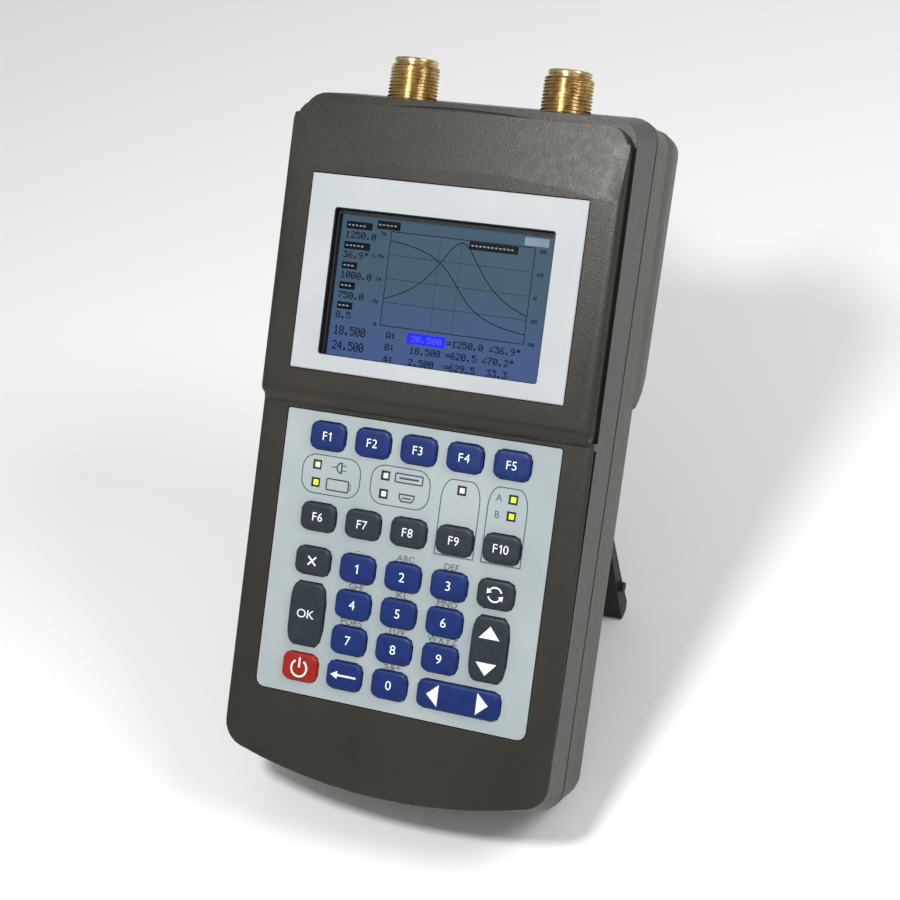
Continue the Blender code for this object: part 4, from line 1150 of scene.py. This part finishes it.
# --- finishes of the CAD nodes that stay ----------------------------------------------

FINISHES = {
    "front_shell": CASE_PLASTIC,
    "rear_shell": REAR_PLASTIC,
    "display_bezel": BEZEL.material,
    "display_window": LENS,
    "lcd_module": BLACK.material,
    "keypad_overlay": OVERLAY.material,
    "keypad_board": BOARD.material,
    "main_board": BOARD.material,
    "battery_pack": CELLS.material,
    "battery_cover": REAR_PLASTIC,
    "kickstand": STAND_PLASTIC,
    "kickstand_pin": STEEL.material,
    "stand_bumper_rod": RUBBER.material,
    "power_jack": RUBBER.material,
    "usb_port": STEEL.material,
    "card_slot": STEEL.material,
    "connector_insulator_a": WHITE_INSULATOR.material,
    "connector_insulator_b": WHITE_INSULATOR.material,
    "connector_contact_a": GOLD.material,
    "connector_contact_b": GOLD.material,
}
for name in nodes:
    if name.startswith("case_screw"):
        FINISHES[name] = STEEL.material
    if name.startswith("led_"):
        lit = name in ("led_battery", "led_cursor_a", "led_cursor_b")
        FINISHES[name] = (LAMP_LIT if lit else LAMP_OFF_GLOWING).material
for name, material in FINISHES.items():
    finish_node(name, material)


# --- studio -----------------------------------------------------------------------

FLOOR_SIDE = 6.0
ROOM_LIGHT = 0.52
SEEN_LIGHT = 0.9
floor_mesh = bpy.data.meshes.new("studio_floor")
half = FLOOR_SIDE / 2
floor_mesh.from_pydata(
    [(-half, -half, 0.0), (half, -half, 0.0), (half, half, 0.0), (-half, half, 0.0)], [], [(0, 1, 2, 3)]
)
FLOOR = Finish("studio_floor", colour("f4f4f4"), 0.8)
floor_mesh.materials.append(FLOOR.material)
floor = bpy.data.objects.new("studio_floor", floor_mesh)
bpy.context.scene.collection.objects.link(floor)


def shape_world(tree):
    """A white room that is dimmer on its left and right, and that the camera sees at full brightness."""
    background = tree.nodes["Background"]
    background.inputs["Color"].default_value = (1.0, 1.0, 1.0, 1.0)
    place = tree.nodes.new("ShaderNodeTexCoord")
    split = tree.nodes.new("ShaderNodeSeparateXYZ")
    tree.links.new(place.outputs["Generated"], split.inputs["Vector"])
    aside = tree.nodes.new("ShaderNodeMath")
    aside.operation = "ABSOLUTE"
    tree.links.new(split.outputs["X"], aside.inputs[0])
    fade = tree.nodes.new("ShaderNodeMapRange")
    fade.inputs["From Min"].default_value = 0.3
    fade.inputs["From Max"].default_value = 0.95
    fade.inputs["To Min"].default_value = ROOM_LIGHT
    fade.inputs["To Max"].default_value = ROOM_LIGHT * 0.8
    tree.links.new(aside.outputs["Value"], fade.inputs["Value"])
    path = tree.nodes.new("ShaderNodeLightPath")
    mix = tree.nodes.new("ShaderNodeMix")
    tree.links.new(path.outputs["Is Camera Ray"], mix.inputs["Factor"])
    tree.links.new(fade.outputs["Result"], mix.inputs["A"])
    mix.inputs["B"].default_value = SEEN_LIGHT
    tree.links.new(mix.outputs["Result"], background.inputs["Strength"])


def add_light(name, place, target, size, power):
    """A round soft light that the camera doesn't see."""
    data = bpy.data.lights.new(name, "AREA")
    data.shape = "DISK"
    data.size = size
    data.energy = power
    light = bpy.data.objects.new(name, data)
    light.location = place
    light.visible_camera = False
    light.rotation_euler = (Vector(target) - Vector(place)).to_track_quat("-Z", "Y").to_euler()
    scene.collection.objects.link(light)


scene = bpy.context.scene
scene.view_settings.view_transform = "Standard"
world = bpy.data.worlds.new("studio")
scene.world = world
world.use_nodes = True
shape_world(world.node_tree)

MIDDLE = (cad_low + cad_high) / 2
KEY_PLACE = (0.75, 0.1, 0.85)
add_light("key_light", KEY_PLACE, MIDDLE, size=0.45, power=5.0)
# A lamp whose sheen the camera sees on the top right corner of the face, in case coordinates
SHEEN_PLACE = CASE @ (Vector((-58.0, -564.0, 323.0)) * MM)
SHEEN_TARGET = CASE @ (Vector((20.0, 0.0, 160.0)) * MM)
add_light("sheen_light", SHEEN_PLACE, SHEEN_TARGET, size=0.1, power=2.7)

# The camera stands to the right of the case and level with its display, in case coordinates
CAMERA_TARGET = Vector((10.05, 0.0, 111.46)) * MM
CAMERA_DISTANCE = 609.9 * MM
CAMERA_YAW = math.radians(21.955)
CAMERA_PITCH = math.radians(4.27)
CAMERA_ROLL = math.radians(7.271)
CAMERA_LENS = 80.0

camera_data = bpy.data.cameras.new("camera")
camera_data.lens = CAMERA_LENS
camera_data.sensor_width = 36.0
camera = bpy.data.objects.new("camera", camera_data)
scene.collection.objects.link(camera)
level = math.cos(CAMERA_PITCH)
back = Vector(
    (math.sin(CAMERA_YAW) * level, -math.cos(CAMERA_YAW) * level, math.sin(CAMERA_PITCH))
)
right = back.cross(Vector((0.0, 0.0, 1.0))).normalized() * -1
up = back.cross(right)
look = Matrix((right, up, back)).transposed().to_4x4()
stand = Matrix.Translation(CAMERA_TARGET + back * CAMERA_DISTANCE)
camera.matrix_world = CASE @ stand @ look @ Matrix.Rotation(CAMERA_ROLL, 4, "Z")
scene.camera = camera
